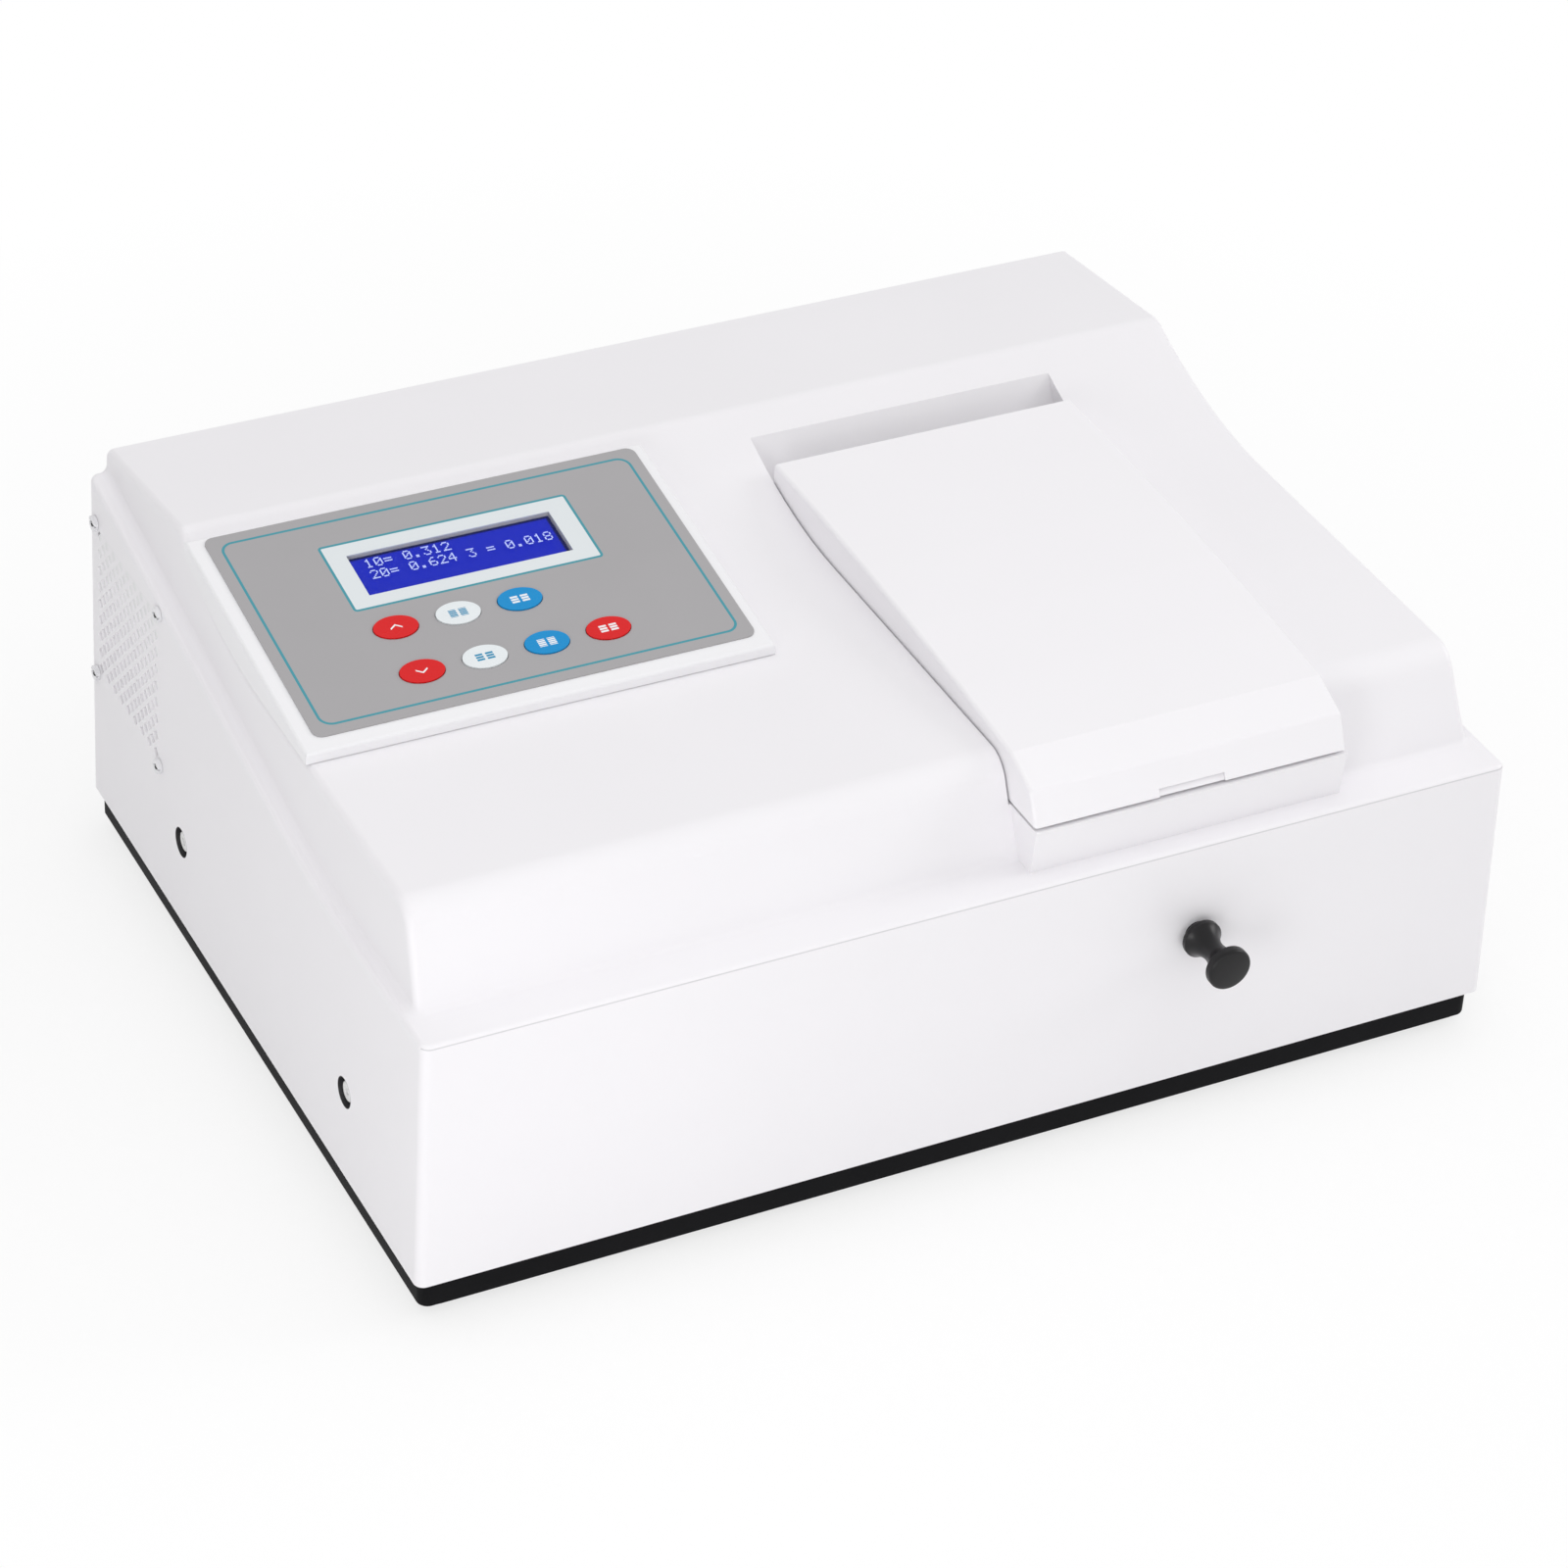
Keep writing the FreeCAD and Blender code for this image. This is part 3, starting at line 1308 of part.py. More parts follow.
def make_mono_cover():
    top = level(s.mono_height)
    plate = box(mono_x, mono_y, (top, top + s.mono_lid))
    holes = [cylinder("Z", s.cover_screw_radius + s.screw_clearance, (top - 1, top + s.mono_lid + 1), place)
             for place in corner_places(mono_x, mono_y, s.boss_radius)]
    return cut(plate, *holes)


def pan_screw(place, seat, length):
    """Pan-head screw pointing down, its head on a seat."""
    head = cylinder("Z", s.screw_head_radius, (seat, seat + s.screw_head_height), place)
    shank = cylinder("Z", s.cover_screw_radius, (seat - length, seat), place)
    slot = box((place[0] - s.screw_head_radius - 1, place[0] + s.screw_head_radius + 1),
               (place[1] - 0.5, place[1] + 0.5),
               (seat + s.screw_head_height - 0.8, seat + s.screw_head_height + 1))
    return cut(joined(head, shank), slot)


def make_slit(axis, span, centre):
    """Round plate with a narrow upright slot."""
    plate = cylinder(axis, s.beam_radius + 3, span, centre)
    thin = s.slit_width / 2
    tall = (centre[1] - s.slit_height / 2, centre[1] + s.slit_height / 2)
    deep = (span[0] - 1, span[1] + 1)
    across = (centre[0] - thin, centre[0] + thin)
    slot = box(across, deep, tall) if axis == "Y" else box(deep, across, tall)
    return cut(plate, slot)


def mirror_and_mount(x, y, facing):
    """Flat mirror block and the angle that carries it; facing is the axis that it looks along."""
    half = s.mirror_size / 2
    thick = s.mirror_thickness
    tall = (beam_z - half, beam_z + half)
    if facing == "Y":
        glass = box((x - half, x + half), (y - thick, y), tall)
        back = box((x - half, x + half), (y - thick - 4, y - thick), (mono_floor, tall[1]))
        shelf = box((x - half, x + half), (y - thick - 4, y + 8), (mono_floor, mono_floor + 4))
    else:
        glass = box((x - thick, x), (y - half, y + half), tall)
        back = box((x - thick - 4, x - thick), (y - half, y + half), (mono_floor, tall[1]))
        shelf = box((x - thick - 4, x + 8), (y - half, y + half), (mono_floor, mono_floor + 4))
    return glass, joined(back, shelf)


keep("monochromator_housing", make_mono_housing())
keep("monochromator_cover", make_mono_cover())
slits = [make_slit("Y", (mono_y[1] - s.mono_wall - 1.5, mono_y[1] - s.mono_wall), (s.entrance_x, beam_z)),
         make_slit("X", (mono_x[1] - s.mono_wall - 1.5, mono_x[1] - s.mono_wall), (s.beam_y, beam_z))]
keep("slit_plates", group(slits))
collimator, collimator_mount = mirror_and_mount(s.entrance_x, mono_y[0] + s.mono_wall + 14, "Y")
focuser, focuser_mount = mirror_and_mount(mono_x[0] + s.mono_wall + 14, s.beam_y + 10, "X")
keep("collimating_mirror", collimator)
keep("focusing_mirror", focuser)
keep("mirror_mounts", group([collimator_mount, focuser_mount]))


# Grating on its turntable, with the motor under it
grating_place = (s.grating_x, s.grating_y)
table_base = beam_z - s.grating_size / 2 - s.table_thickness
motor_top = mono_floor + s.motor_height


def make_stepper():
    half = s.motor_size / 2
    case = box((s.grating_x - half, s.grating_x + half), (s.grating_y - half, s.grating_y + half),
               (mono_floor, motor_top))
    doc.recompute()
    shaped = filleted(case, lambda edge: edge.BoundBox.ZLength > 10, s.corner_radius, "motor_case")
    spigot = cylinder("Z", s.motor_spigot, (motor_top, motor_top + 2), grating_place)
    bore = cylinder("Z", s.shaft_radius + s.run_gap, (motor_top - 8, motor_top + 3), grating_place)
    return cut(joined(shaped, spigot), bore)


def make_table():
    disc = cylinder("Z", s.table_radius, (table_base, table_base + s.table_thickness), grating_place)
    shaft = cylinder("Z", s.shaft_radius, (motor_top - 7, table_base + 1), grating_place)
    collar = cylinder("Z", s.shaft_radius * 2.4, (table_base - 6, table_base), grating_place)
    half = s.grating_size / 2
    top = table_base + s.table_thickness
    back = box((s.grating_x - half, s.grating_x + half), (s.grating_y + 3, s.grating_y + 7),
               (top - 1, top + s.grating_size))
    return joined(disc, shaft, collar, back, name="table")


def make_grating():
    half = s.grating_size / 2
    top = table_base + s.table_thickness
    return box((s.grating_x - half, s.grating_x + half), (s.grating_y - 3, s.grating_y + 3),
               (top, top + s.grating_size), "grating")


keep("grating_motor", make_stepper())
keep("grating_table", make_table())
keep("grating", make_grating())


# Beam tubes from the lamp house to the monochromator and on to the sample chamber
def tube(axis, span, centre):
    return cut(cylinder(axis, s.beam_radius + 4, span, centre),
               cylinder(axis, s.beam_radius, (span[0] - 1, span[1] + 1), centre))


keep("beam_tubes", group([tube("X", (mono_x[1], chamber_left - s.chamber_wall), (s.beam_y, beam_z)),
                          tube("Y", (mono_y[1], s.lamp_front), (s.entrance_x, beam_z))]))


# Lamp house with its two lamps and the mirror that picks one of them
lamp_left = -half_width + s.lamp_setback
lamp_x = (lamp_left, s.lamp_right)
lamp_y = (s.lamp_front, s.lamp_rear)
lamp_floor = foot_z + s.lamp_wall
lamp_top = level(s.lamp_height)
tungsten_place = (lamp_left + s.tungsten_inset, s.tungsten_y)
deuterium_place = (lamp_left + s.deuterium_inset, s.deuterium_y)
swing_place = (s.entrance_x, s.swing_y)


def make_lamp_house():
    tub = hollow_box(lamp_x, lamp_y, (foot_z, lamp_top), s.lamp_wall, s.lamp_wall)
    air = cylinder("X", s.fan_bore_radius - 8, (lamp_left - 1, lamp_left + s.lamp_wall + 1),
                   (s.fan_y, level(s.fan_height)))
    port = cylinder("Y", s.beam_radius, (s.lamp_front - 1, s.lamp_front + s.lamp_wall + 1),
                    (s.entrance_x, beam_z))
    slots = [box((s.lamp_right - s.lamp_wall - 1, s.lamp_right + 1), (s.lamp_front + 12, s.lamp_rear - 12),
                 (foot_z + z, foot_z + z + 5)) for z in (20.0, 32.0, 44.0)]
    return cut(tub, air, port, *slots, name="lamp_box")


def make_lamp_cover():
    plate = box(lamp_x, lamp_y, (lamp_top, lamp_top + s.lamp_wall))
    slots = [box((lamp_left + 20 + 18.0 * i, lamp_left + 26 + 18.0 * i),
                 (s.lamp_front + 14, s.lamp_rear - 14),
                 (lamp_top - 1, lamp_top + s.lamp_wall + 1)) for i in range(5)]
    return cut(plate, *slots)


def make_socket(place, half, height, bore):
    post = box((place[0] - half, place[0] + half), (place[1] - half, place[1] + half),
               (lamp_floor, level(height)))
    return cut(post, cylinder("Z", bore, (level(height) - 14, level(height) + 1), place))


def make_tungsten_lamp():
    base = cylinder("Z", s.tungsten_radius, (level(s.tungsten_socket) - 14, level(s.tungsten_socket) + 8),
                    tungsten_place)
    bulb = cylinder("Z", s.tungsten_radius - 0.5, (level(s.tungsten_socket) + 7, beam_z + 8), tungsten_place)
    tip = doc.addObject("Part::Sphere", fresh("bulb_tip"))
    bind(tip, "Radius", s.tungsten_radius - 0.5)
    bind_base(tip, *tungsten_place, beam_z + 8)
    return joined(base, bulb, tip, name="tungsten")


def make_deuterium_lamp():
    socket_z = level(s.deuterium_socket)
    base = cylinder("Z", s.deuterium_radius - 3, (socket_z - 14, socket_z + 6),
                    deuterium_place)
    tube_ = cylinder("Z", s.deuterium_radius, (level(s.deuterium_socket) + 5, beam_z + 22), deuterium_place)
    tip = doc.addObject("Part::Sphere", fresh("lamp_tip"))
    bind(tip, "Radius", s.deuterium_radius)
    bind_base(tip, *deuterium_place, beam_z + 22)
    return joined(base, tube_, tip, name="deuterium")


keep("lamp_house", make_lamp_house())
keep("lamp_house_cover", make_lamp_cover())
keep("lamp_sockets", group([
    make_socket(tungsten_place, s.tungsten_radius * 1.8, s.tungsten_socket, s.tungsten_radius),
    make_socket(deuterium_place, s.deuterium_radius + 1, s.deuterium_socket, s.deuterium_radius - 3)]))
keep("tungsten_lamp", make_tungsten_lamp())
keep("deuterium_lamp", make_deuterium_lamp())


# Source mirror on its motor: it turns from one lamp to the other
swing_base = beam_z - s.swing_mirror / 2


def make_mirror_motor():
    case = cylinder("Z", s.swing_motor_radius, (lamp_floor, lamp_floor + s.swing_motor_height), swing_place)
    bore = cylinder("Z", s.shaft_radius + s.run_gap,
                    (lamp_floor + s.swing_motor_height - 10, lamp_floor + s.swing_motor_height + 1),
                    swing_place)
    return cut(case, bore)


def make_source_mirror():
    half = s.swing_mirror / 2
    shaft = cylinder("Z", s.shaft_radius, (lamp_floor + s.swing_motor_height - 9, swing_base), swing_place)
    table = cylinder("Z", s.swing_motor_radius - 2, (swing_base - 4, swing_base), swing_place)
    glass = doc.addObject("Part::Box", fresh("mirror_plate"))
    bind(glass, "Length", s.swing_mirror)
    bind(glass, "Width", s.mirror_thickness * 0.6)
    bind(glass, "Height", s.swing_mirror)
    turn = Rotation(Vector(0, 0, 1), -45 + s.swing_rest.number)
    glass.Placement = Placement(Vector(), turn)
    away = turn.multVec(Vector(1, 0, 0))
    bind_base(glass, swing_place[0] - half * away.x, swing_place[1] - half * away.y, swing_base - 1)
    return joined(shaft, table, glass, name="swing_mirror")


keep("mirror_motor", make_mirror_motor())
keep("source_mirror", make_source_mirror())


# Detector behind the right wall of the sample chamber
detector_x = (chamber_right + s.chamber_wall, chamber_right + s.chamber_wall + s.detector_depth)
detector_y = (s.beam_y - s.detector_width / 2, s.beam_y + s.detector_width / 2)
detector_z = (beam_z - s.detector_height / 2, beam_z + s.detector_height / 2)


def make_detector_housing():
    case = box(detector_x, detector_y, detector_z)
    wall = s.chamber_wall
    hollow = box((detector_x[0] + wall, detector_x[1] + 1), (detector_y[0] + wall, detector_y[1] - wall),
                 (detector_z[0] + wall, detector_z[1] - wall))
    port = cylinder("X", s.beam_radius, (detector_x[0] - 1, detector_x[0] + wall + 1), (s.beam_y, beam_z))
    return cut(case, hollow, port)


def make_detector_board():
    board = box((detector_x[1], detector_x[1] + s.board_thickness), detector_y, detector_z)
    can = cylinder("X", s.beam_radius - 1, (detector_x[1] - 9, detector_x[1] + 0.5), (s.beam_y, beam_z))
    rear_x = detector_x[1]
    chip = box((rear_x + 1, rear_x + 4), (s.beam_y - 5, s.beam_y + 5), (beam_z - 20, beam_z - 10))
    plug = box((rear_x + 1, rear_x + 9), (s.beam_y - 12, s.beam_y + 12), (beam_z + 12, beam_z + 19))
    return joined(board, can, chip, plug, name="detector")


keep("detector_housing", make_detector_housing())
keep("detector_board", make_detector_board())


# Boards, their spacers and the mains transformer
def board_with(x, y, under, parts):
    """Circuit board with blocks on it, each given from the board's corner."""
    top = under + s.board_thickness
    blocks = [box((x[0] + a, x[0] + a + w), (y[0] + b, y[0] + b + d), (top - 0.5, top + h))
              for a, b, w, d, h in parts]
    return joined(box(x, y, (under, top)), *blocks, name="board")


mono_top = level(s.mono_height) + s.mono_lid
main_x = (mono_x[0] + 14, mono_x[0] + 14 + s.main_board_width)
main_y = (mono_y[0] + 14, mono_y[0] + 14 + s.main_board_length)
power_x = (s.power_left, s.power_left + s.power_width)
power_y = (s.lamp_front + 2, s.lamp_front + 2 + s.power_length)
keep("main_board", board_with(main_x, main_y, mono_top + s.spacer_height, (
    (14.0, 40.0, 34.0, 14.0, 4.0), (58.0, 40.0, 24.0, 24.0, 3.0), (14.0, 62.0, 20.0, 8.0, 3.5),
    (92.0, 20.0, 10.0, 28.0, 3.5), (92.0, 60.0, 10.0, 28.0, 3.5), (20.0, 92.0, 40.0, 8.0, 9.0),
    (72.0, 92.0, 30.0, 8.0, 9.0), (14.0, 12.0, 60.0, 10.0, 6.0))))
keep("power_board", board_with(power_x, power_y, foot_z + s.spacer_height, (
    (10.0, 8.0, 14.0, 14.0, 26.0), (30.0, 8.0, 14.0, 14.0, 26.0), (8.0, 32.0, 6.0, 30.0, 22.0),
    (24.0, 34.0, 20.0, 16.0, 12.0), (50.0, 20.0, 8.0, 34.0, 10.0))))
spacers = [cylinder("Z", s.spacer_radius, (mono_top, mono_top + s.spacer_height), place)
           for place in corner_places(main_x, main_y, 6.0)]
spacers += [cylinder("Z", s.spacer_radius, (foot_z, foot_z + s.spacer_height), place)
            for place in corner_places(power_x, power_y, 6.0)]
keep("board_spacers", group(spacers))


def make_transformer():
    middle = (s.transformer_x, (s.lamp_front + s.lamp_rear) / 2)
    wide, deep, tall = s.transformer_size, s.transformer_size * 0.38, s.transformer_size * 0.84
    core = box((middle[0] - wide / 2, middle[0] + wide / 2), (middle[1] - deep / 2, middle[1] + deep / 2),
               (foot_z, foot_z + tall))
    coil = box((middle[0] - wide * 0.29, middle[0] + wide * 0.29), (middle[1] - deep, middle[1] + deep),
               (foot_z + tall * 0.18, foot_z + tall * 0.82))
    doc.recompute()
    soft = filleted(coil, lambda edge: edge.BoundBox.ZLength > 20, s.corner_radius, "coil_round")
    return joined(core, soft, name="transformer_block")


keep("mains_transformer", make_transformer())


# Cooling fan on the left wall, blowing across the lamp house
fan_x = (fan_face, fan_face + s.fan_depth)
fan_z = level(s.fan_height)
fan_centre = (s.fan_y, fan_z)
strut_front = fan_x[1] - s.fan_strut
bolt_places = [(y, level(z)) for y, z in fan_bolt_places()]


def make_fan_frame():
    half = s.fan_size / 2
    square = box(fan_x, (s.fan_y - half, s.fan_y + half), (fan_z - half, fan_z + half))
    doc.recompute()
    rounded = filleted(square, lambda edge: edge.BoundBox.XLength > 20, s.corner_radius, "fan_square")
    bore = cylinder("X", s.fan_bore_radius, (fan_x[0] - 1, fan_x[1] + 1), fan_centre)
    bolts = [cylinder("X", s.fan_screw_radius + s.run_gap, (fan_x[0] - 1, fan_x[1] + 1), place)
             for place in bolt_places]
    ring = cut(rounded, bore, *bolts, name="fan_ring")
    reach = s.fan_bore_radius + 1
    upright = box((strut_front, fan_x[1]), (s.fan_y - s.fan_strut, s.fan_y + s.fan_strut),
                  (fan_z - reach, fan_z + reach))
    across = box((strut_front, fan_x[1]), (s.fan_y - reach, s.fan_y + reach),
                 (fan_z - s.fan_strut, fan_z + s.fan_strut))
    disc = cylinder("X", s.fan_hub_radius, (strut_front, fan_x[1]), fan_centre)
    bearing = cylinder("X", s.fan_shaft + s.run_gap, (strut_front - 1, fan_x[1] + 1), fan_centre)
    return cut(joined(ring, upright, across, disc), bearing, name="fan_frame")


def make_fan_rotor():
    hub_x = (fan_x[0] + 1.5, strut_front - 1)
    hub = cylinder("X", s.fan_hub_radius, hub_x, fan_centre)
    shaft = cylinder("X", s.fan_shaft, (hub_x[1] - 1, fan_x[1] - 0.5), fan_centre)
    middle = (hub_x[0] + hub_x[1]) / 2
    chord = (hub_x[1] - hub_x[0]) * 1.0
    blades = []
    for i in range(7):
        blade = doc.addObject("Part::Box", fresh("blade"))
        bind(blade, "Length", chord)
        bind(blade, "Width", s.blade_thickness)
        bind(blade, "Height", s.fan_bore_radius - s.fan_hub_radius + 2)
        turn = Rotation(Vector(1, 0, 0), 360.0 / 7 * i) * Rotation(Vector(0, 0, 1), s.blade_pitch.number)
        blade.Placement = Placement(Vector(), turn)
        ways = (Vector(1, 0, 0), Vector(0, 1, 0), Vector(0, 0, 1))
        across, thick, out = (turn.multVec(way) for way in ways)
        corner = [-chord / 2 * a - s.blade_thickness / 2 * b + (s.fan_hub_radius - 2) * c
                  for a, b, c in zip(across, thick, out)]
        bind_base(blade, middle + corner[0], s.fan_y + corner[1], fan_z + corner[2])
        blades.append(blade)
    tips = cylinder("X", s.fan_bore_radius - s.fan_tip_gap, hub_x, fan_centre)
    return joined(hub, shaft, common(joined(*blades), tips), name="fan_wheel")


def make_fan_screw(y, z):
    """Its head sits on the leaning wall."""
    seat = -half_width + side_in(z - foot_z - s.fan_screw_head) - 0.02
    head = cylinder("X", s.fan_screw_head, (seat - s.screw_head_height * 0.7, seat), (y, z))
    shank = cylinder("X", s.fan_screw_radius, (seat - 0.5, fan_x[0] + 12), (y, z))
    slot = box((seat - s.screw_head_height, seat - s.screw_head_height * 0.4),
               (y - s.fan_screw_head - 1, y + s.fan_screw_head + 1), (z - 0.5, z + 0.5))
    return cut(joined(head, shank), slot)


keep("fan_frame", make_fan_frame())
keep("fan_rotor", make_fan_rotor())
keep("fan_screws", group([make_fan_screw(y, z) for y, z in bolt_places]))


# Rear connector panel, standing on the base behind the window in the cover
panel_z = (foot_z, level(s.panel_height))
socket_z = level(s.socket_height)
inlet_x = panel_left + s.inlet_place
switch_x = panel_left + s.switch_place


def opening(middle, width, height, y, rise=socket_z, name="opening"):
    """Block centred on a place of the panel."""
    return box((middle - width / 2, middle + width / 2), y, (rise - height / 2, rise + height / 2), name)


def make_rear_panel():
    plate = box((panel_left, panel_right), panel_y, panel_z)
    foot = box((panel_left, panel_right), (foot_y, panel_y[1]), (foot_z, foot_z + s.panel_thickness))
    through = (panel_y[0] - 1, panel_y[1] + 1)
    holes = [opening(inlet_x, s.inlet_width, s.inlet_height, through),
             opening(switch_x, s.rocker_width, s.rocker_height, through)]
    through = (foot_z - 1, foot_z + s.panel_thickness + 1)
    screws = [cylinder("Z", s.cover_screw_radius + s.screw_clearance, through,
                       place) for place in panel_screw_places]
    return cut(joined(plate, foot), *holes, *screws, name="panel")


def make_mains_inlet():
    lip = panel_face + s.inlet_lip
    flange = opening(inlet_x, s.inlet_width + 22, s.inlet_height + 4, (panel_face, lip))
    body = opening(inlet_x, s.inlet_width, s.inlet_height, (lip - s.inlet_depth, panel_face))
    recess = opening(inlet_x, s.inlet_width - 3, s.inlet_height - 3.5, (lip - s.inlet_depth + 4, lip + 1))
    pins = [box((inlet_x + a - 1, inlet_x + a + 1), (lip - s.inlet_depth + 3, lip - 2),
                (socket_z + b - 2, socket_z + b + 2)) for a, b in ((-7.0, -2.0), (0.0, 2.0), (7.0, -2.0))]
    tabs = [box((inlet_x + a - 1, inlet_x + a + 1), (lip - s.inlet_depth - 9, lip - s.inlet_depth + 1),
                (socket_z + b - 3, socket_z + b + 3)) for a, b in ((-7.0, -2.0), (0.0, 2.0), (7.0, -2.0))]
    holes = [cylinder("Y", s.cover_screw_radius - 0.3, (panel_face - 1, lip + 1), (inlet_x + a, socket_z))
             for a in (-20.0, 20.0)]
    return joined(cut(joined(flange, body), recess, *holes), *pins, *tabs, name="inlet")


rocker_y = panel_face - s.rocker_pivot_depth
rocker_reach = s.rocker_height / 2 - s.rocker_frame


def make_power_switch():
    lip = panel_face + s.inlet_lip
    flange = opening(switch_x, s.rocker_width + 3, s.rocker_height + 3, (panel_face, lip - 0.4))
    body = opening(switch_x, s.rocker_width, s.rocker_height, (panel_face - s.switch_depth, panel_face))
    frame = s.rocker_frame * 2
    pocket = opening(switch_x, s.rocker_width - frame, s.rocker_height - frame + 0.6,
                     (rocker_y - rocker_reach - 1, lip + 1))
    pivots = cylinder("X", s.fan_shaft + s.run_gap,
                      (switch_x - s.rocker_width / 2 + 0.5, switch_x + s.rocker_width / 2 - 0.5),
                      (rocker_y, socket_z))
    back = panel_face - s.switch_depth
    tabs = [box((switch_x - 2.4, switch_x + 2.4), (back - 8, back + 1),
                (socket_z + z - 0.4, socket_z + z + 0.4)) for z in (-5.0, 5.0)]
    return joined(cut(joined(flange, body), pocket, pivots), *tabs, name="switch")


def make_power_rocker():
    """Round-backed rocker with a shallow valley in its face, tilted to its off side."""
    half = s.rocker_width / 2 - s.rocker_frame - s.flat_gap
    span = (switch_x - half, switch_x + half)
    drum = cylinder("X", rocker_reach, span, (rocker_y, socket_z))
    half_axle = s.rocker_width / 2 - 0.7
    axle = cylinder("X", s.fan_shaft, (switch_x - half_axle, switch_x + half_axle),
                    (rocker_y, socket_z))
    faces = []
    for tilt_angle in (0.0, 2 * s.rocker_angle.number):
        face = doc.addObject("Part::Box", fresh("rocker_face"))
        bind(face, "Length", half * 2 + 2)
        bind(face, "Width", 20.0)
        bind(face, "Height", 20.0)
        turn = Rotation(Vector(1, 0, 0), tilt_angle)
        face.Placement = Placement(Vector(), turn)
        out, along = turn.multVec(Vector(0, 1, 0)), turn.multVec(Vector(0, 0, 1))
        shift = 0.0 if tilt_angle else -20.0
        bind_base(face, span[0] - 1, rocker_y + s.rocker_face * math.cos(math.radians(s.rocker_angle.number))
                  + shift * along.y, socket_z + s.rocker_face * math.sin(math.radians(s.rocker_angle.number))
                  + shift * along.z)
        faces.append(face)
    return joined(cut(drum, *faces), axle, name="rocker")


keep("rear_panel", make_rear_panel())
keep("mains_inlet", make_mains_inlet())
keep("power_switch", make_power_switch())
keep("power_rocker", make_power_rocker())
mono_screws = corner_places(mono_x, mono_y, s.boss_radius)
screws = [pan_screw(place, mono_top, s.mono_lid + 8) for place in mono_screws]
screws += [pan_screw(place, foot_z + s.panel_thickness, s.panel_thickness + s.panel_screw_depth)
           for place in panel_screw_places]
keep("pan_head_screws", group(screws))


def export():
    """Checks every object, then writes one file for each node."""
    doc.recompute()
    for item in doc.Objects:
        if "Invalid" in item.State or "Error" in item.State:
            raise RuntimeError(f"{item.Name} {item.Label} {item.State}")
    os.makedirs("parts", exist_ok=True)
    for name, item in nodes.items():
        shape = item.Shape
        if shape.isNull() or not shape.isValid() or not shape.Solids:
            raise RuntimeError(f"{name} has no valid solid")
        shape.exportStep(f"parts/{name}.step")
        print(f"{name}: {len(shape.Solids)} solid(s), {shape.Volume / 1000:.1f} cm3")


export()
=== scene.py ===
# %% [markdown]
# # A bench spectrophotometer
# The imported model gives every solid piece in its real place. This lesson dresses it: it finds the
# camera, lights the bench, and gives each piece the finish that the real one has. It also adds the
# few fine things that are too thin to be solids, such as the digits of the display.

# %% Load the frame
import math

import bmesh
import bpy
import numpy as np
from mathutils import Matrix


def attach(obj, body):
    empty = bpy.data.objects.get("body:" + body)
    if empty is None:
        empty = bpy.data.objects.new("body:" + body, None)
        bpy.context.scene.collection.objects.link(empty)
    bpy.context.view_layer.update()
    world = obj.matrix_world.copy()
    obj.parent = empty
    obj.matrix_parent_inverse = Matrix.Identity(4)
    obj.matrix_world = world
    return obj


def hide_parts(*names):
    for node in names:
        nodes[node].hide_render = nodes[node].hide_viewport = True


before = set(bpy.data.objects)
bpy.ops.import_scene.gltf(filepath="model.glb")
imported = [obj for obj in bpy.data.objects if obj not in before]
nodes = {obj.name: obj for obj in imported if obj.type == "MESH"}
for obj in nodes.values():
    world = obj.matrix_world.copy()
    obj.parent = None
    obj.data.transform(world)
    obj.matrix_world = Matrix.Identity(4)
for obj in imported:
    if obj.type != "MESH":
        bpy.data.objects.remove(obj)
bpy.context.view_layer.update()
print("pieces in the frame:", len(nodes))

# %% [markdown]
# The photograph was taken with a long lens from the front left, looking down on the instrument. A
# camera could be turned by hand until the picture fits, but the straight edges of the housing meet in
# three vanishing points, and those give the angles, the distance and the lens. The camera also leans
# a few degrees, so it is built from three directions: to the right, up, and back towards the
# photographer.

# %% Camera
AZIMUTH, ELEVATION, ROLL = np.radians([-27.93, 35.25, 3.07])
DISTANCE = 2.0188
FOCAL_PIXELS = 5124.35
FRAME_PIXELS = 1600.0
SENSOR_MM = 36.0
AIM = np.array([0.00205, 0.0, 0.06762])


def camera_axes(azimuth, elevation, roll):
    """Right, up and back: the back ray comes from the two angles, and roll turns right into up."""
    back = np.array([np.sin(azimuth) * np.cos(elevation), -np.cos(azimuth) * np.cos(elevation),
                     np.sin(elevation)])
    level_right = np.array([np.cos(azimuth), np.sin(azimuth), 0.0])
    level_up = np.cross(back, level_right)
    right = np.cos(roll) * level_right + np.sin(roll) * level_up
    return right, np.cross(back, right), back


def facing(right, up, back, place):
    """The matrix that turns an object's own X, Y and Z into these three directions."""
    rows = np.eye(4)
    rows[:3, :4] = np.column_stack([right, up, back, place])
    return Matrix(rows.tolist())


right, up, back = camera_axes(AZIMUTH, ELEVATION, ROLL)
lens = bpy.data.cameras.new("photo_lens")
lens.sensor_width = SENSOR_MM
lens.lens = FOCAL_PIXELS / FRAME_PIXELS * SENSOR_MM
lens.clip_start, lens.clip_end = 0.05, 50.0
camera = bpy.data.objects.new("photo_camera", lens)
bpy.context.scene.collection.objects.link(camera)
camera.matrix_world = facing(right, up, back, AIM + back * DISTANCE)
bpy.context.scene.camera = camera
print("lens in mm:", round(lens.lens, 1))

# %% [markdown]
# Shader maths reads badly as a chain of nodes, so one small class wraps the output of a node.
# Adding, taking away or multiplying two wires puts the Math node there and returns its output,
# so that a pattern can be written as a formula.

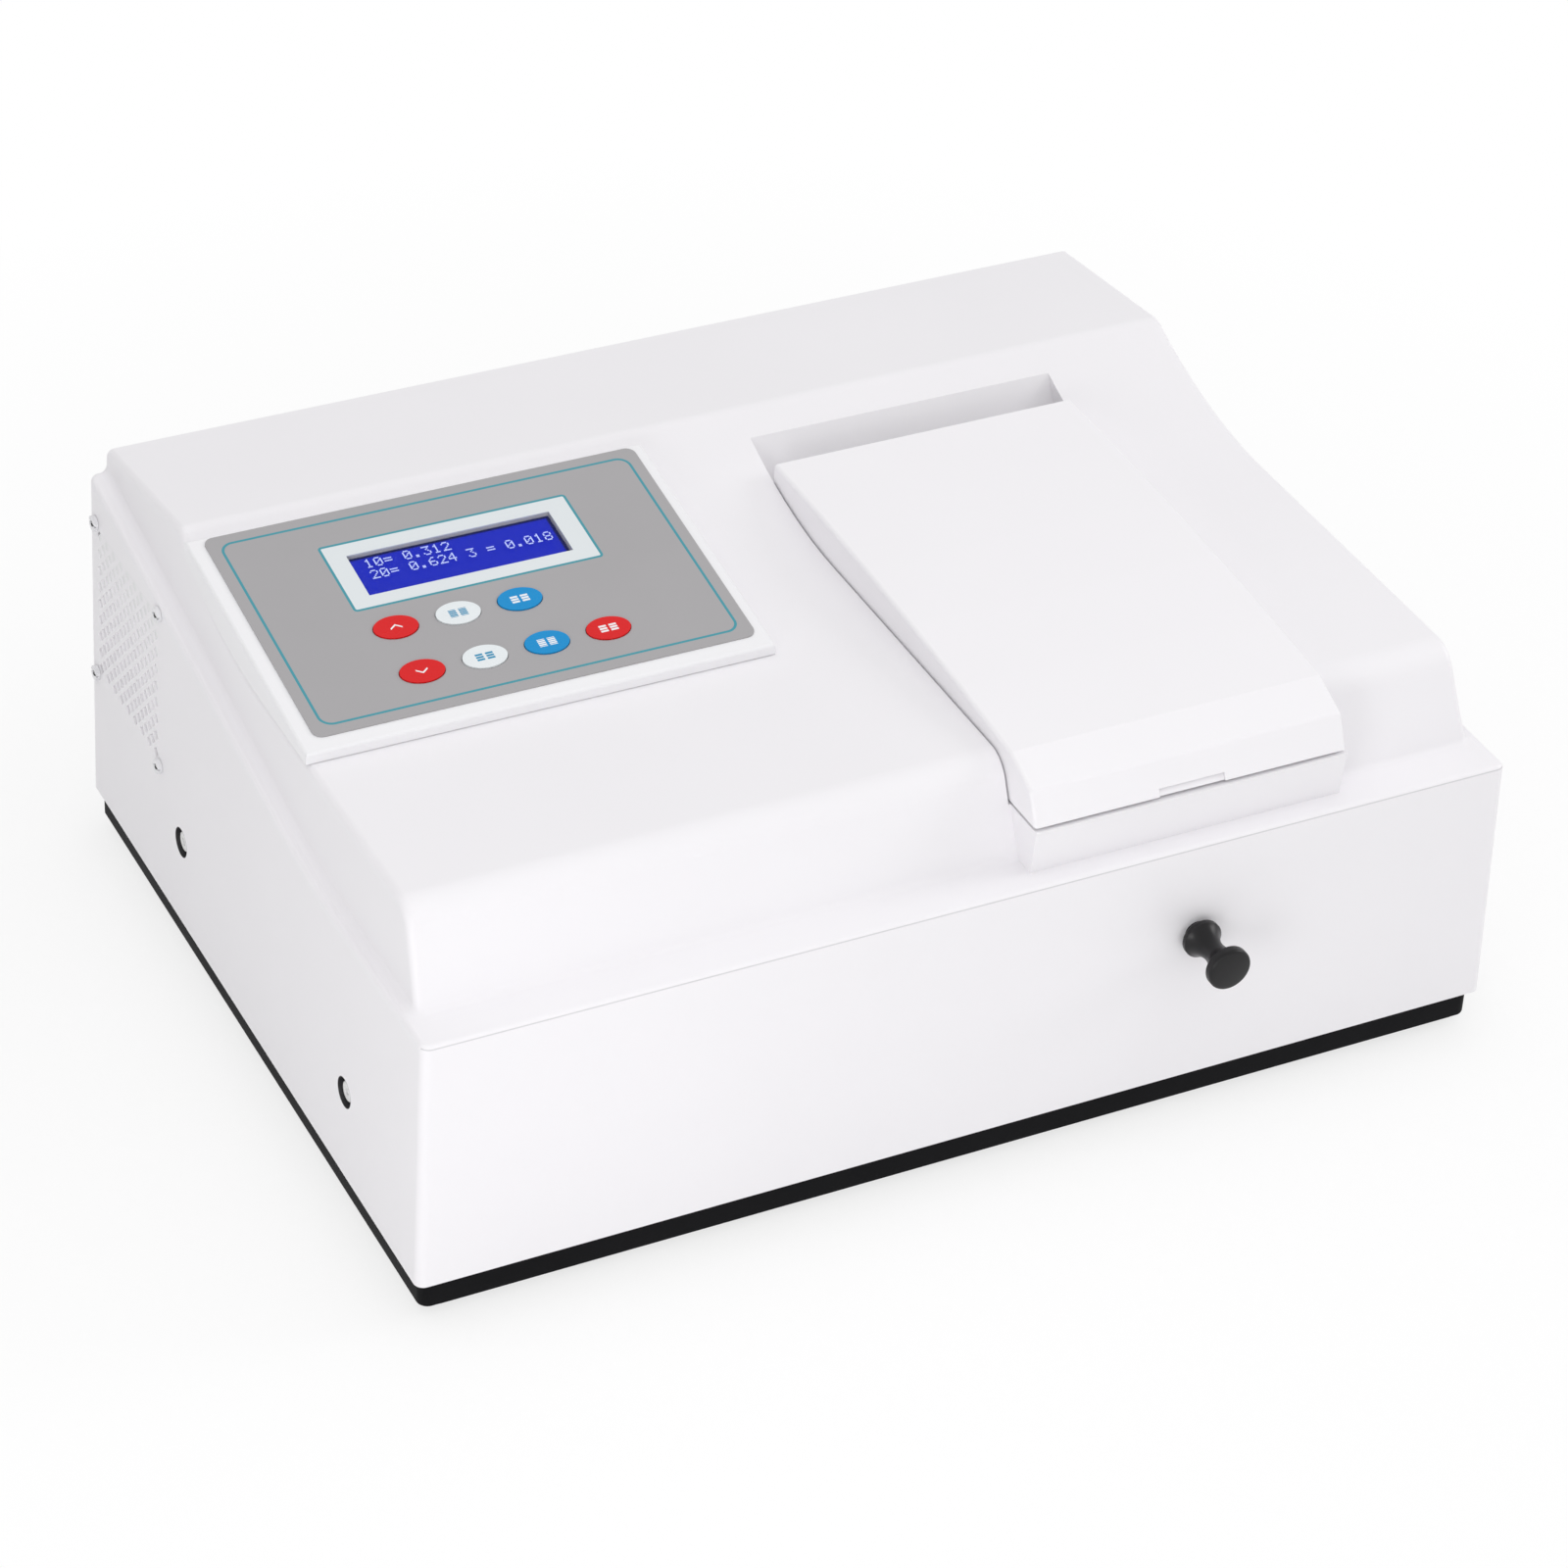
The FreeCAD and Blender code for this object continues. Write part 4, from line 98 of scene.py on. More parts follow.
# %% Wires with arithmetic
class Wire:
    """The output of a shader node, on which ordinary arithmetic adds Math nodes."""

    def __init__(self, finish, socket):
        self.finish = finish
        self.socket = socket

    def apply(self, operation, *others):
        return self.finish.maths(operation, self, *others)

    def __add__(self, other):
        return self.apply("ADD", other)

    def __sub__(self, other):
        return self.apply("SUBTRACT", other)

    def __mul__(self, other):
        return self.apply("MULTIPLY", other)

    def __truediv__(self, other):
        return self.apply("DIVIDE", other)

    def __radd__(self, other):
        return self.finish.maths("ADD", other, self)

    def __rsub__(self, other):
        return self.finish.maths("SUBTRACT", other, self)

    def __rmul__(self, other):
        return self.finish.maths("MULTIPLY", other, self)

    def __abs__(self):
        return self.apply("ABSOLUTE")

    def clamped(self):
        """The value, kept between 0 and 1."""
        return self.finish.maths("ADD", self, 0.0, use_clamp=True)

    def below(self, limit, soft=0.05):
        """1 where the value is under the limit, 0 above it, with a soft edge between."""
        return ((limit - self) * (1.0 / soft) + 0.5).clamped()

    def above(self, limit, soft=0.05):
        """1 where the value is over the limit, 0 under it, with a soft edge between."""
        return ((self - limit) * (1.0 / soft) + 0.5).clamped()


class Finish:
    """A material with a Principled shader; add() puts in any other node."""

    def __init__(self, name, colour=(0.8, 0.8, 0.8), roughness=0.5, metallic=0.0, **fixed):
        self.material = bpy.data.materials.new(name)
        self.material.use_nodes = True
        self.tree = self.material.node_tree
        self.tree.nodes.clear()
        self.output = self.tree.nodes.new("ShaderNodeOutputMaterial")
        self.shader = self.tree.nodes.new("ShaderNodeBsdfPrincipled")
        self.tree.links.new(self.shader.outputs[0], self.output.inputs["Surface"])
        self.set(Base_Color=colour, Roughness=roughness, Metallic=metallic, **fixed)

    def add(self, kind, settings=None, output=0, **sockets):
        """A node of any kind: its settings first, then a value or a wire for each socket."""
        node = self.tree.nodes.new("ShaderNode" + kind)
        for key, value in (settings or {}).items():
            if key == "stops":
                stops = node.color_ramp.elements
                while len(stops) < len(value):
                    stops.new(0.5)
                for stop, (place, colour) in zip(stops, value):
                    stop.position = place
                    stop.color = (*colour, 1.0)
            else:
                setattr(node, key, value)
        for key, value in sockets.items():
            self.plug(node, key.replace("_", " "), value)
        return Wire(self, node.outputs[output])

    def plug(self, node, key, value):
        socket = node.inputs[int(key)] if key.isdigit() else node.inputs[key]
        if isinstance(value, Wire):
            self.tree.links.new(value.socket, socket)
        elif isinstance(value, tuple) and len(value) == 3 and socket.type == "RGBA":
            socket.default_value = (*value, 1.0)
        else:
            socket.default_value = value

    def set(self, **sockets):
        """Values or wires for the Principled shader's own sockets."""
        for key, value in sockets.items():
            self.plug(self.shader, key.replace("_", " "), value)

    def maths(self, operation, *values, use_clamp=False):
        node = self.tree.nodes.new("ShaderNodeMath")
        node.operation = operation
        node.use_clamp = use_clamp
        for index, value in enumerate(values):
            self.plug(node, str(index), value)
        return Wire(self, node.outputs[0])

    def place(self):
        """Object coordinates as three wires in millimetres."""
        point = self.add("TexCoord", output="Object")
        split = self.tree.nodes.new("ShaderNodeSeparateXYZ")
        self.tree.links.new(point.socket, split.inputs[0])
        return [Wire(self, output) * 1000.0 for output in split.outputs]

    def point(self, stretch=(1.0, 1.0, 1.0)):
        """Object coordinates, stretched along X, Y and Z."""
        return self.add("Mapping", Vector=self.add("TexCoord", output="Object"), Scale=stretch)

    def mix(self, factor, first, second):
        """The first colour where the factor is 0, the second where it is 1."""
        node = self.tree.nodes.new("ShaderNodeMix")
        node.data_type = "RGBA"
        for key, value in (("0", factor), ("6", first), ("7", second)):
            self.plug(node, key, value)
        return Wire(self, node.outputs[2])

    def noise(self, scale, detail=3.0, stretch=(1.0, 1.0, 1.0), roughness=0.5):
        return self.add("TexNoise", Vector=self.point(stretch), Scale=scale, Detail=detail,
                        Roughness=roughness)

    def bump(self, height, depth, strength=1.0):
        """Normal from a height wire, where 1 stands for a depth in metres."""
        self.set(Normal=self.add("Bump", Height=height, Distance=depth, Strength=strength))


# %% [markdown]
# The housing is sprayed in a white, faintly lilac satin paint. Seen close, such paint has a fine
# orange peel, and over a whole panel its gloss and tone drift a little. One flat colour would look
# like paper, and an image would need unwrapping, so both come from noise on Object coordinates: a
# coarse one for the tone, a fine one for the peel.

# %% White paint
def tinted(finish, colour, spread, scale, stretch=(1.0, 1.0, 1.0)):
    """A colour that drifts darker and lighter by a share of itself."""
    drift = finish.noise(scale, 3.0, stretch)
    dark = tuple(c * (1.0 - spread) for c in colour)
    light = tuple(min(1.0, c * (1.0 + spread)) for c in colour)
    return finish.mix(drift, dark, light)


def painted(name, colour, roughness, peel=0.00002, scale=900.0, spread=0.02, **fixed):
    """Satin paint: the peel is the depth of its grain in metres. The toned colour is kept as coat."""
    finish = Finish(name, colour, roughness, **fixed)
    finish.coat = tinted(finish, colour, spread, 9.0)
    finish.set(Base_Color=finish.coat, Roughness=finish.noise(30.0) * 0.12 + (roughness - 0.06))
    finish.bump(finish.noise(scale, 2.0), peel)
    return finish


white_paint = painted("white_paint", (0.875, 0.86, 0.885), 0.42)
lid_white = painted("lid_white", (0.90, 0.885, 0.91), 0.38)
bezel_white = painted("bezel_white", (0.875, 0.87, 0.89), 0.36)
base_black = painted("base_black", (0.006, 0.006, 0.007), 0.6, 0.00005, 700.0, 0.2,
                     Specular_IOR_Level=0.06)
print("finishes so far:", len(bpy.data.materials))

# %% [markdown]
# The two screws on each side sit at the bottom of a deep cup, and the shade inside the cup is
# painted on: the cup's faces take a dark grey. A second material on the cup's faces would do as well,
# but somebody would have to pick the faces. A mask needs no picking: it is the distance to the cup's
# axis, which is the same for both sides. A thin grey line under the front's top edge, where two faces
# of the moulding meet, is a mask on height.

# %% Painted shade in the cups
CUP_PLACES, CUP_HEIGHT, CUP_RADIUS = (-101.0, 70.0), 56.5, 6.35
# painted shade: the dark grey inside the side cups
CUP_SHADE_GREY = (0.035, 0.034, 0.037)
SIDE_REACH = 210.0
SEAM_HEIGHT, SEAM_HALF, FRONT_REACH = 126.2, 0.22, 169.0
SEAM_GREY = (0.62, 0.61, 0.63)


def around(finish, u, v, centre, radius, soft=0.2):
    """1 inside a circle, 0 outside it."""
    u, v = u - centre[0], v - centre[1]
    return (u * u + v * v).apply("SQRT").below(radius, soft)


x, y, z = white_paint.place()
cups = around(white_paint, y, z, (CUP_PLACES[0], CUP_HEIGHT), CUP_RADIUS)
cups = cups + around(white_paint, y, z, (CUP_PLACES[1], CUP_HEIGHT), CUP_RADIUS)
aside = abs(x).above(SIDE_REACH)
seam = abs(z - SEAM_HEIGHT).below(SEAM_HALF, 0.3) * (y + FRONT_REACH).below(0.0)
seamed = white_paint.mix(seam, white_paint.coat, SEAM_GREY)
# painted shade: the inside of the side cups turns dark grey
white_paint.set(Base_Color=white_paint.mix((cups * aside).clamped(), seamed, CUP_SHADE_GREY))
print("cups on each side:", len(CUP_PLACES))

# %% [markdown]
# Metals differ mostly in their roughness and in the way that they were worked. A turned screw has
# fine rings, a rolled sheet has streaks along one axis, and a cast or anodised part is dull with a
# fine grain. Anisotropic shading would show the streaks too, but few other programs read it. So one
# function stretches its noise instead: it takes the grain's scale and its stretch.

# %% Metals
def metal(name, colour, roughness, grain=600.0, stretch=(1.0, 1.0, 1.0), depth=0.00001, spread=0.06,
          metallic=1.0):
    """A metal whose noise drives the roughness and the bump alike."""
    finish = Finish(name, colour, roughness, metallic)
    streak = finish.noise(grain, 4.0, stretch)
    finish.set(Base_Color=tinted(finish, colour, spread, 40.0, stretch),
               Roughness=streak * 0.2 + (roughness - 0.1))
    finish.bump(streak, depth)
    return finish


screw_steel = metal("screw_steel", (0.62, 0.62, 0.62), 0.32)
zinc_sheet = metal("zinc_sheet", (0.6, 0.61, 0.62), 0.38, 300.0, (0.05, 1.0, 1.0))
cast_grey = metal("cast_grey", (0.16, 0.16, 0.165), 0.6, 1500.0, depth=0.00006, metallic=0.6)
anodised_black = metal("anodised_black", (0.02, 0.02, 0.022), 0.45, 1800.0, depth=0.00002,
                       metallic=0.5)
rack_black = metal("rack_black", (0.028, 0.028, 0.032), 0.4, 1500.0, (1.0, 0.1, 1.0), metallic=0.5)
bright_rod = metal("bright_rod", (0.75, 0.75, 0.77), 0.14, 900.0, (1.0, 0.02, 1.0), 0.000004)
mirror_face = metal("mirror_face", (0.9, 0.91, 0.93), 0.1, 2000.0, depth=0.000001, spread=0.01)
motor_black = metal("motor_black", (0.04, 0.04, 0.042), 0.42, 900.0, metallic=0.6)
print("finishes so far:", len(bpy.data.materials))

# %% [markdown]
# The fan's four screws have small pale heads, and the shade in each head's recess is painted dark.
# Four masks would draw the painted recesses, one for each screw. But the screws stand at the corners
# of a square, so folding the coordinates twice about its middle brings all four onto one mask.

# %% Fan screws
FAN_MIDDLE, FAN_HALF_SPACING, RECESS_RADIUS = (129.3, 114.0), 35.75, 1.25

fan_screw_plated = metal("fan_screw_plated", (0.85, 0.85, 0.87), 0.4, metallic=0.1)
x, y, z = fan_screw_plated.place()
u, v = abs(y - FAN_MIDDLE[0]) - FAN_HALF_SPACING, abs(z - FAN_MIDDLE[1]) - FAN_HALF_SPACING
# painted shade: a dark spot in the middle of each fan screw's head
recess_shade = around(fan_screw_plated, u, v, (0.0, 0.0), RECESS_RADIUS)
fan_screw_plated.set(Base_Color=fan_screw_plated.mix(recess_shade, (0.80, 0.80, 0.82), (0.03, 0.03, 0.03)))
print("fan screws are", 2 * FAN_HALF_SPACING, "mm apart")

# %% [markdown]
# The screws in the side cups are bright steel that has lost some of its polish. The screen behind
# the vents is a pale woven cloth. Real threads would be thousands of faces that nobody sees through
# the vents, so two waves at right angles draw them.

# %% Side screws and vent screen
screw_bright = metal("screw_bright", (0.80, 0.80, 0.80), 0.42, metallic=0.3)
screen_pale = Finish("screen_pale", (0.85, 0.85, 0.86), 0.8)
THREAD_TURNS = 6.0
x, y, z = screen_pale.place()
weave = (y * THREAD_TURNS).apply("SINE") * (z * THREAD_TURNS).apply("SINE") * 0.5 + 0.5
screen_pale.set(Base_Color=screen_pale.mix(weave, (0.80, 0.80, 0.81), (0.88, 0.88, 0.89)),
                Roughness=weave * 0.1 + 0.75)
screen_pale.bump(weave, 0.0001)
print("thread pitch in mm:", round(math.tau / THREAD_TURNS, 2))

# %% [markdown]
# Rubber, nylon and the black moulded pieces are dull, with a grain that the mould left in them.
# They differ only in a few numbers, so one function makes them all. The pull knob is smoother than
# the rest: fingers have polished it, and it catches the light on its rim.

# %% Plastics and rubber
def moulded(name, colour, roughness, grain=1400.0, depth=0.00003, spread=0.1, **fixed):
    """A moulding: one noise drifts its gloss, and a finer one is the mould's grain."""
    finish = Finish(name, colour, roughness, **fixed)
    finish.set(Base_Color=tinted(finish, colour, spread, 120.0),
               Roughness=finish.noise(200.0) * 0.15 + (roughness - 0.08))
    finish.bump(finish.noise(grain, 2.0), depth)
    return finish


rubber = moulded("rubber", (0.02, 0.02, 0.02), 0.8)
knob_black = moulded("knob_black", (0.008, 0.0075, 0.0085), 0.34, 2500.0, 0.000006,
                     Specular_IOR_Level=0.3)
fan_black = moulded("fan_black", (0.018, 0.018, 0.02), 0.5)
inlet_black = moulded("inlet_black", (0.015, 0.015, 0.016), 0.42)
nylon = moulded("nylon", (0.75, 0.73, 0.66), 0.5)
ceramic = moulded("ceramic", (0.72, 0.69, 0.62), 0.35, 700.0, 0.00002, 0.04)
print("finishes so far:", len(bpy.data.materials))

# %% [markdown]
# The keypad is drawn on the tilted face of its bezel. Its patterns are easiest to write in the
# panel's own measures: across from the left edge, along from the front edge, and up off the face,
# in millimetres. An unwrapped panel would give the first two. Turning the Object coordinates by the
# tilt gives all three, and needs no unwrapping.

# %% Panel measures
TILT = math.radians(8.8)
PANEL_CORNER = (-219.5, -42.0, 168.4)


def panel_place(finish):
    """Across, along and up on the tilted face, as wires in millimetres."""
    x, y, z = finish.place()
    across = x - PANEL_CORNER[0]
    y, z = y - PANEL_CORNER[1], z - PANEL_CORNER[2]
    along = y * math.cos(TILT) + z * math.sin(TILT)
    return across, along, z * math.cos(TILT) - y * math.sin(TILT)


def panel_points(across, along, up):
    """The same measures turned back into metres, for whole arrays at once."""
    across, along, up = np.broadcast_arrays(across, along, up)
    y = along * math.cos(TILT) - up * math.sin(TILT)
    z = along * math.sin(TILT) + up * math.cos(TILT)
    return (np.stack([across, y, z], -1) + PANEL_CORNER) / 1000.0


def rectangle(finish, u, v, centre, half, radius):
    """Signed distance to a rectangle with round corners: negative inside it."""
    a = abs(u - centre[0]) - (half[0] - radius)
    b = abs(v - centre[1]) - (half[1] - radius)
    outside_a, outside_b = a.apply("MAXIMUM", 0.0), b.apply("MAXIMUM", 0.0)
    corner = (outside_a * outside_a + outside_b * outside_b).apply("SQRT")
    return corner + a.apply("MAXIMUM", b).apply("MINIMUM", 0.0) - radius


print("the panel's tilt in degrees:", round(math.degrees(TILT), 1))

# %% [markdown]
# The overlay is a film printed in three colours from behind: grey all over, a thin blue-green line
# that runs parallel to its edge, and a pale frame with the same line round the display. A picture
# of the print would blur when seen close. Here each line is a band of the signed distance to a
# rectangle, and it stays sharp at any size.

# %% Overlay print
GREY_INK = (0.385, 0.375, 0.385)
LINE_INK = (0.045, 0.30, 0.37)
PALE_INK = (0.74, 0.78, 0.80)
LINE_WIDTH = 1.1
BORDER_CENTRE, BORDER_HALF, BORDER_RADIUS = (97.25, 65.75), (85.6, 53.6), 5.0
FRAME_CENTRE, FRAME_HALF, FRAME_RADIUS = (98.5, 86.75), (51.5, 19.0), 1.2

overlay_print = Finish("overlay_print", GREY_INK, 0.36)
across, along, _ = panel_place(overlay_print)
border = rectangle(overlay_print, across, along, BORDER_CENTRE, BORDER_HALF, BORDER_RADIUS)
surround = rectangle(overlay_print, across, along, FRAME_CENTRE, FRAME_HALF, FRAME_RADIUS)
ground = tinted(overlay_print, GREY_INK, 0.03, 25.0)
lined = overlay_print.mix(abs(border).below(LINE_WIDTH / 2), ground, LINE_INK)
framed = overlay_print.mix(surround.below(0.0), lined, PALE_INK)
overlay_print.set(Base_Color=overlay_print.mix(abs(surround).below(LINE_WIDTH / 2), framed, LINE_INK),
                  Roughness=overlay_print.noise(60.0) * 0.1 + 0.3)
overlay_print.bump(overlay_print.noise(2600.0, 1.0), 0.000008)
print("printed border in mm:", [2 * half for half in BORDER_HALF])

# %% [markdown]
# The keys are domed spots of film in red, blue and pale grey. The two at the left carry an arrow
# head. The others carry a plain mark of a few bars, in the place and at the size of a printed word.
# Decals would float over the keys, so the marks are masks in the keys' own colour.

# %% Key marks
KEY_LEFT, KEY_PITCH = 58.0, 25.6
ROW_ALONG = (28.2, 54.3)
RED, BLUE, PALE = (0.70, 0.008, 0.010), (0.002, 0.27, 0.62), (0.80, 0.84, 0.86)
WHITE_INK, TEAL_INK = (0.86, 0.88, 0.9), (0.02, 0.26, 0.46)
ARROW_SLOPE, ARROW_TOP, ARROW_LINE, ARROW_HALF = 0.75, 1.0, 0.42, 2.4
MARK_HALF, COLUMN_PLACE, COLUMN_HALF, BAR_LIMIT = 2.1, 2.1, 1.55, 0.45


def arrow(finish, u, v, way):
    """Chevron: the places where height and sideways distance add up to the same number."""
    slant = abs(v * way + abs(u) * ARROW_SLOPE - ARROW_TOP)
    return slant.below(ARROW_LINE) * abs(u).below(ARROW_HALF)


def bars(finish, u, v, count):
    """Short bars above each other, in two columns: the places where a cosine of the height is high."""
    column = abs(abs(u) - COLUMN_PLACE)
    mask = abs(v).below(MARK_HALF) * column.below(COLUMN_HALF)
    wave = (v * (math.pi * count / (2.0 * MARK_HALF))).apply("COSINE")
    return mask * abs(wave).above(BAR_LIMIT, 0.2)


def key_finish(name, colour, ink, column, row, mark, number):
    """A key's film, with a mark at the middle of the key in that column and row."""
    finish = Finish(name, colour, 0.28, Specular_IOR_Level=0.25)
    across, along, _ = panel_place(finish)
    u = across - (KEY_LEFT + KEY_PITCH * column)
    v = along - ROW_ALONG[row]
    ground = tinted(finish, colour, 0.05, 60.0)
    finish.set(Base_Color=finish.mix(mark(finish, u, v, number), ground, ink),
               Roughness=finish.noise(90.0) * 0.1 + 0.22)
    finish.bump(finish.noise(2600.0, 1.0), 0.000006)
    return finish


key_finishes = {
    "key_up": key_finish("key_up_red", RED, WHITE_INK, 0, 1, arrow, 1.0),
    "key_down": key_finish("key_down_red", RED, WHITE_INK, 0, 0, arrow, -1.0),
    "key_a": key_finish("key_a_pale", PALE, TEAL_INK, 1, 1, bars, 4),
    "key_b": key_finish("key_b_blue", BLUE, WHITE_INK, 2, 1, bars, 3),
    "key_c": key_finish("key_c_pale", PALE, TEAL_INK, 1, 0, bars, 3),
    "key_d": key_finish("key_d_blue", BLUE, WHITE_INK, 2, 0, bars, 4),
    "key_e": key_finish("key_e_red", RED, WHITE_INK, 3, 0, bars, 3),
}
print("keys:", len(key_finishes))

# %% [markdown]
# The display is a blue backlit module behind a clear window. A lamp behind the glass would be the
# real way, but it makes the picture grainy. The light is even, so a little emission carries it. The
# dark rim where the glass meets its frame is painted shade: a band of the distance to the glass's
# edge, where both the colour and the glow turn dark.

# %% Display finishes
GLASS_CENTRE, GLASS_HALF, GLASS_RIM_SHADE = (97.5, 86.1), (42.5, 12.0), 1.3
LIT_BLUE = (0.004, 0.014, 0.46)
display_blue = Finish("display_blue", LIT_BLUE, 0.3, Specular_IOR_Level=0.1)
across, along, _ = panel_place(display_blue)
edge = rectangle(display_blue, across, along, GLASS_CENTRE, GLASS_HALF, 0.5)
# painted shade: a dark band round the edge of the glass, in colour and glow
lit = display_blue.mix(edge.above(-GLASS_RIM_SHADE, 0.6), LIT_BLUE, (0.002, 0.003, 0.05))
display_blue.set(Base_Color=lit, Emission_Color=lit, Emission_Strength=0.25)

window_clear = Finish("window_clear", (0.1, 0.12, 0.4), 0.08, Alpha=0.08, Specular_IOR_Level=0.2)
window_clear.set(Roughness=window_clear.noise(50.0) * 0.04 + 0.05)
digit_light = Finish("digit_light", (0.5, 0.58, 0.85), 0.4, Emission_Color=(0.5, 0.6, 1.0),
                     Emission_Strength=0.22)
digit_light.set(Base_Color=tinted(digit_light, (0.48, 0.56, 0.85), 0.05, 300.0))
print("glass in mm:", [2 * half for half in GLASS_HALF])

# %% [markdown]
# Circuit boards are green lacquer over copper tracks, and the blocks on them are dark mouldings.
# Each board is one mesh, which could be split into board and blocks. It is simpler to choose the
# finish by height: lacquer up to the board's face, and moulding above it. A brick pattern with thin
# mortar makes the tracks.

# %% Circuit boards
LACQUER, TRACK, CHIP = (0.008, 0.1, 0.035), (0.02, 0.19, 0.07), (0.02, 0.02, 0.022)
MAIN_FACE, POWER_FACE, DETECTOR_FACE, KEYPAD_FACE = 134.6, 27.6, 181.1, -10.0
CHIP_FROM = 0.05


def board_finish(name, measure, face):
    """Lacquer below the face along the measured wire, moulding above it."""
    finish = Finish(name, LACQUER, 0.35)
    bricks = finish.add("TexBrick", {"offset": 0.3}, output=1, Vector=finish.point(), Scale=90.0,
                        Mortar_Size=0.012, Brick_Width=0.9, Row_Height=0.16)
    height = measure(finish)
    chip = height.above(face + CHIP_FROM)
    tracks = finish.mix(bricks, LACQUER, TRACK)
    finish.set(Base_Color=finish.mix(chip, tracks, CHIP), Roughness=chip * 0.2 + 0.32)
    finish.bump(finish.noise(900.0), 0.00002)
    return finish


main_board_green = board_finish("main_board_green", lambda f: f.place()[2], MAIN_FACE)
power_board_green = board_finish("power_board_green", lambda f: f.place()[2], POWER_FACE)
detector_green = board_finish("detector_green", lambda f: f.place()[0], DETECTOR_FACE)
keypad_green = board_finish("keypad_green", lambda f: panel_place(f)[2], KEYPAD_FACE)
print("finishes so far:", len(bpy.data.materials))

# %% [markdown]
# The lamps are quartz bulbs, the transformer has a taped coil on stacked iron, and the grating is a
# mirror with rulings too fine to see, which show only as rainbow colours. These come from the angle
# of the light, but here a ramp across the glass paints them as a fixed reflection, which is simpler
# and can be baked.

# %% Lamps, transformer and grating
lamp_glass = Finish("lamp_glass", (0.9, 0.93, 0.97), 0.05, Alpha=0.35)
lamp_glass.set(Roughness=lamp_glass.noise(60.0) * 0.05 + 0.04)

COIL_MIDDLE, COIL_HALF, CORE_HALF = (44.0, 127.0), 17.6, 11.5
SHEET_TURNS = 9.0
transformer_iron = Finish("transformer_iron", (0.1, 0.09, 0.08), 0.55)
x, y, z = transformer_iron.place()
tape = abs(x - COIL_MIDDLE[0]).below(COIL_HALF) * abs(y - COIL_MIDDLE[1]).above(CORE_HALF)
sheets = (y * SHEET_TURNS).apply("SINE") * 0.5 + 0.5
iron = transformer_iron.mix(sheets, (0.05, 0.05, 0.055), (0.13, 0.12, 0.115))
transformer_iron.set(Base_Color=transformer_iron.mix(tape, iron, (0.5, 0.33, 0.05)),
                     Roughness=tape * -0.2 + 0.6)
transformer_iron.bump(sheets, 0.0001)

RAINBOW_REFLECTION = [(0.0, (0.75, 0.5, 0.9)), (0.35, (0.45, 0.65, 0.95)), (0.65, (0.5, 0.9, 0.6)),
           (1.0, (0.95, 0.75, 0.45))]
RULED_LEFT, RULED_WIDTH = -22.0, 28.0
grating_glass = Finish("grating_glass", (0.7, 0.75, 0.8), 0.12, 0.95)
x, y, z = grating_glass.place()
ruled = (x - RULED_LEFT) / RULED_WIDTH
# painted reflection: the grating's rainbow as a fixed ramp across it
grating_glass.set(Base_Color=grating_glass.add("ValToRGB", {"stops": RAINBOW_REFLECTION}, Fac=ruled))
print("finishes so far:", len(bpy.data.materials))

# %% [markdown]
# Every solid piece of the frame now takes its finish. That could be done piece by piece, as in the
# outliner. A table from each finish to its pieces does all of them at once, and it shows which pieces
# of the real instrument are made of the same stuff. Shapes and shading stay as the frame gives them.

# %% Dress the frame
DRESS = {
    white_paint: ["top_cover", "hinge_posts"],
    lid_white: ["sample_lid"],
    bezel_white: ["keypad_bezel"],
    base_black: ["base_plate"],
    rubber: ["rubber_feet", "lid_seal", "chamber_seal"],
    screw_steel: ["foot_screws", "cover_screws", "lid_hinge_pins", "pan_head_screws", "board_spacers"],
    fan_screw_plated: ["fan_screws"],
    zinc_sheet: ["cover_brackets", "lamp_house", "lamp_house_cover", "slit_plates", "rear_panel"],
    cast_grey: ["monochromator_housing", "monochromator_cover", "mirror_mounts", "grating_table"],
    anodised_black: ["sample_chamber", "beam_tubes", "detector_housing"],
    rack_black: ["cell_rack"],
    bright_rod: ["pull_rod", "guide_rails"],
    mirror_face: ["collimating_mirror", "focusing_mirror", "source_mirror"],
    motor_black: ["grating_motor", "mirror_motor"],
    knob_black: ["pull_knob"],
    fan_black: ["fan_frame", "fan_rotor"],
    inlet_black: ["mains_inlet", "power_switch", "power_rocker"],
    nylon: ["rod_bush"],
    ceramic: ["lamp_sockets"],
    overlay_print: ["keypad_overlay"],
    display_blue: ["display_module"],
    window_clear: ["display_window"],
    main_board_green: ["main_board"],
    power_board_green: ["power_board"],
    detector_green: ["detector_board"],
    keypad_green: ["keypad_board"],
    lamp_glass: ["tungsten_lamp", "deuterium_lamp"],
    transformer_iron: ["mains_transformer"],
    grating_glass: ["grating"],
}
dressed = {name: finish for finish, names in DRESS.items() for name in names}
dressed.update(key_finishes)


def wear(piece, finish):
    """The piece keeps this one material."""
    piece.data.materials.clear()
    piece.data.materials.append(finish.material)


for name, finish in dressed.items():
    wear(nodes[name], finish)
print("not dressed:", sorted(set(nodes) - set(dressed)))

# %% [markdown]
# The display shows two lines of numbers. A text object would give smooth letters, but the real ones
# are five dots wide and seven high, as on every character display of this kind. So a table of rows
# gives the dots, and one array of small square plates is placed at all of them at once.

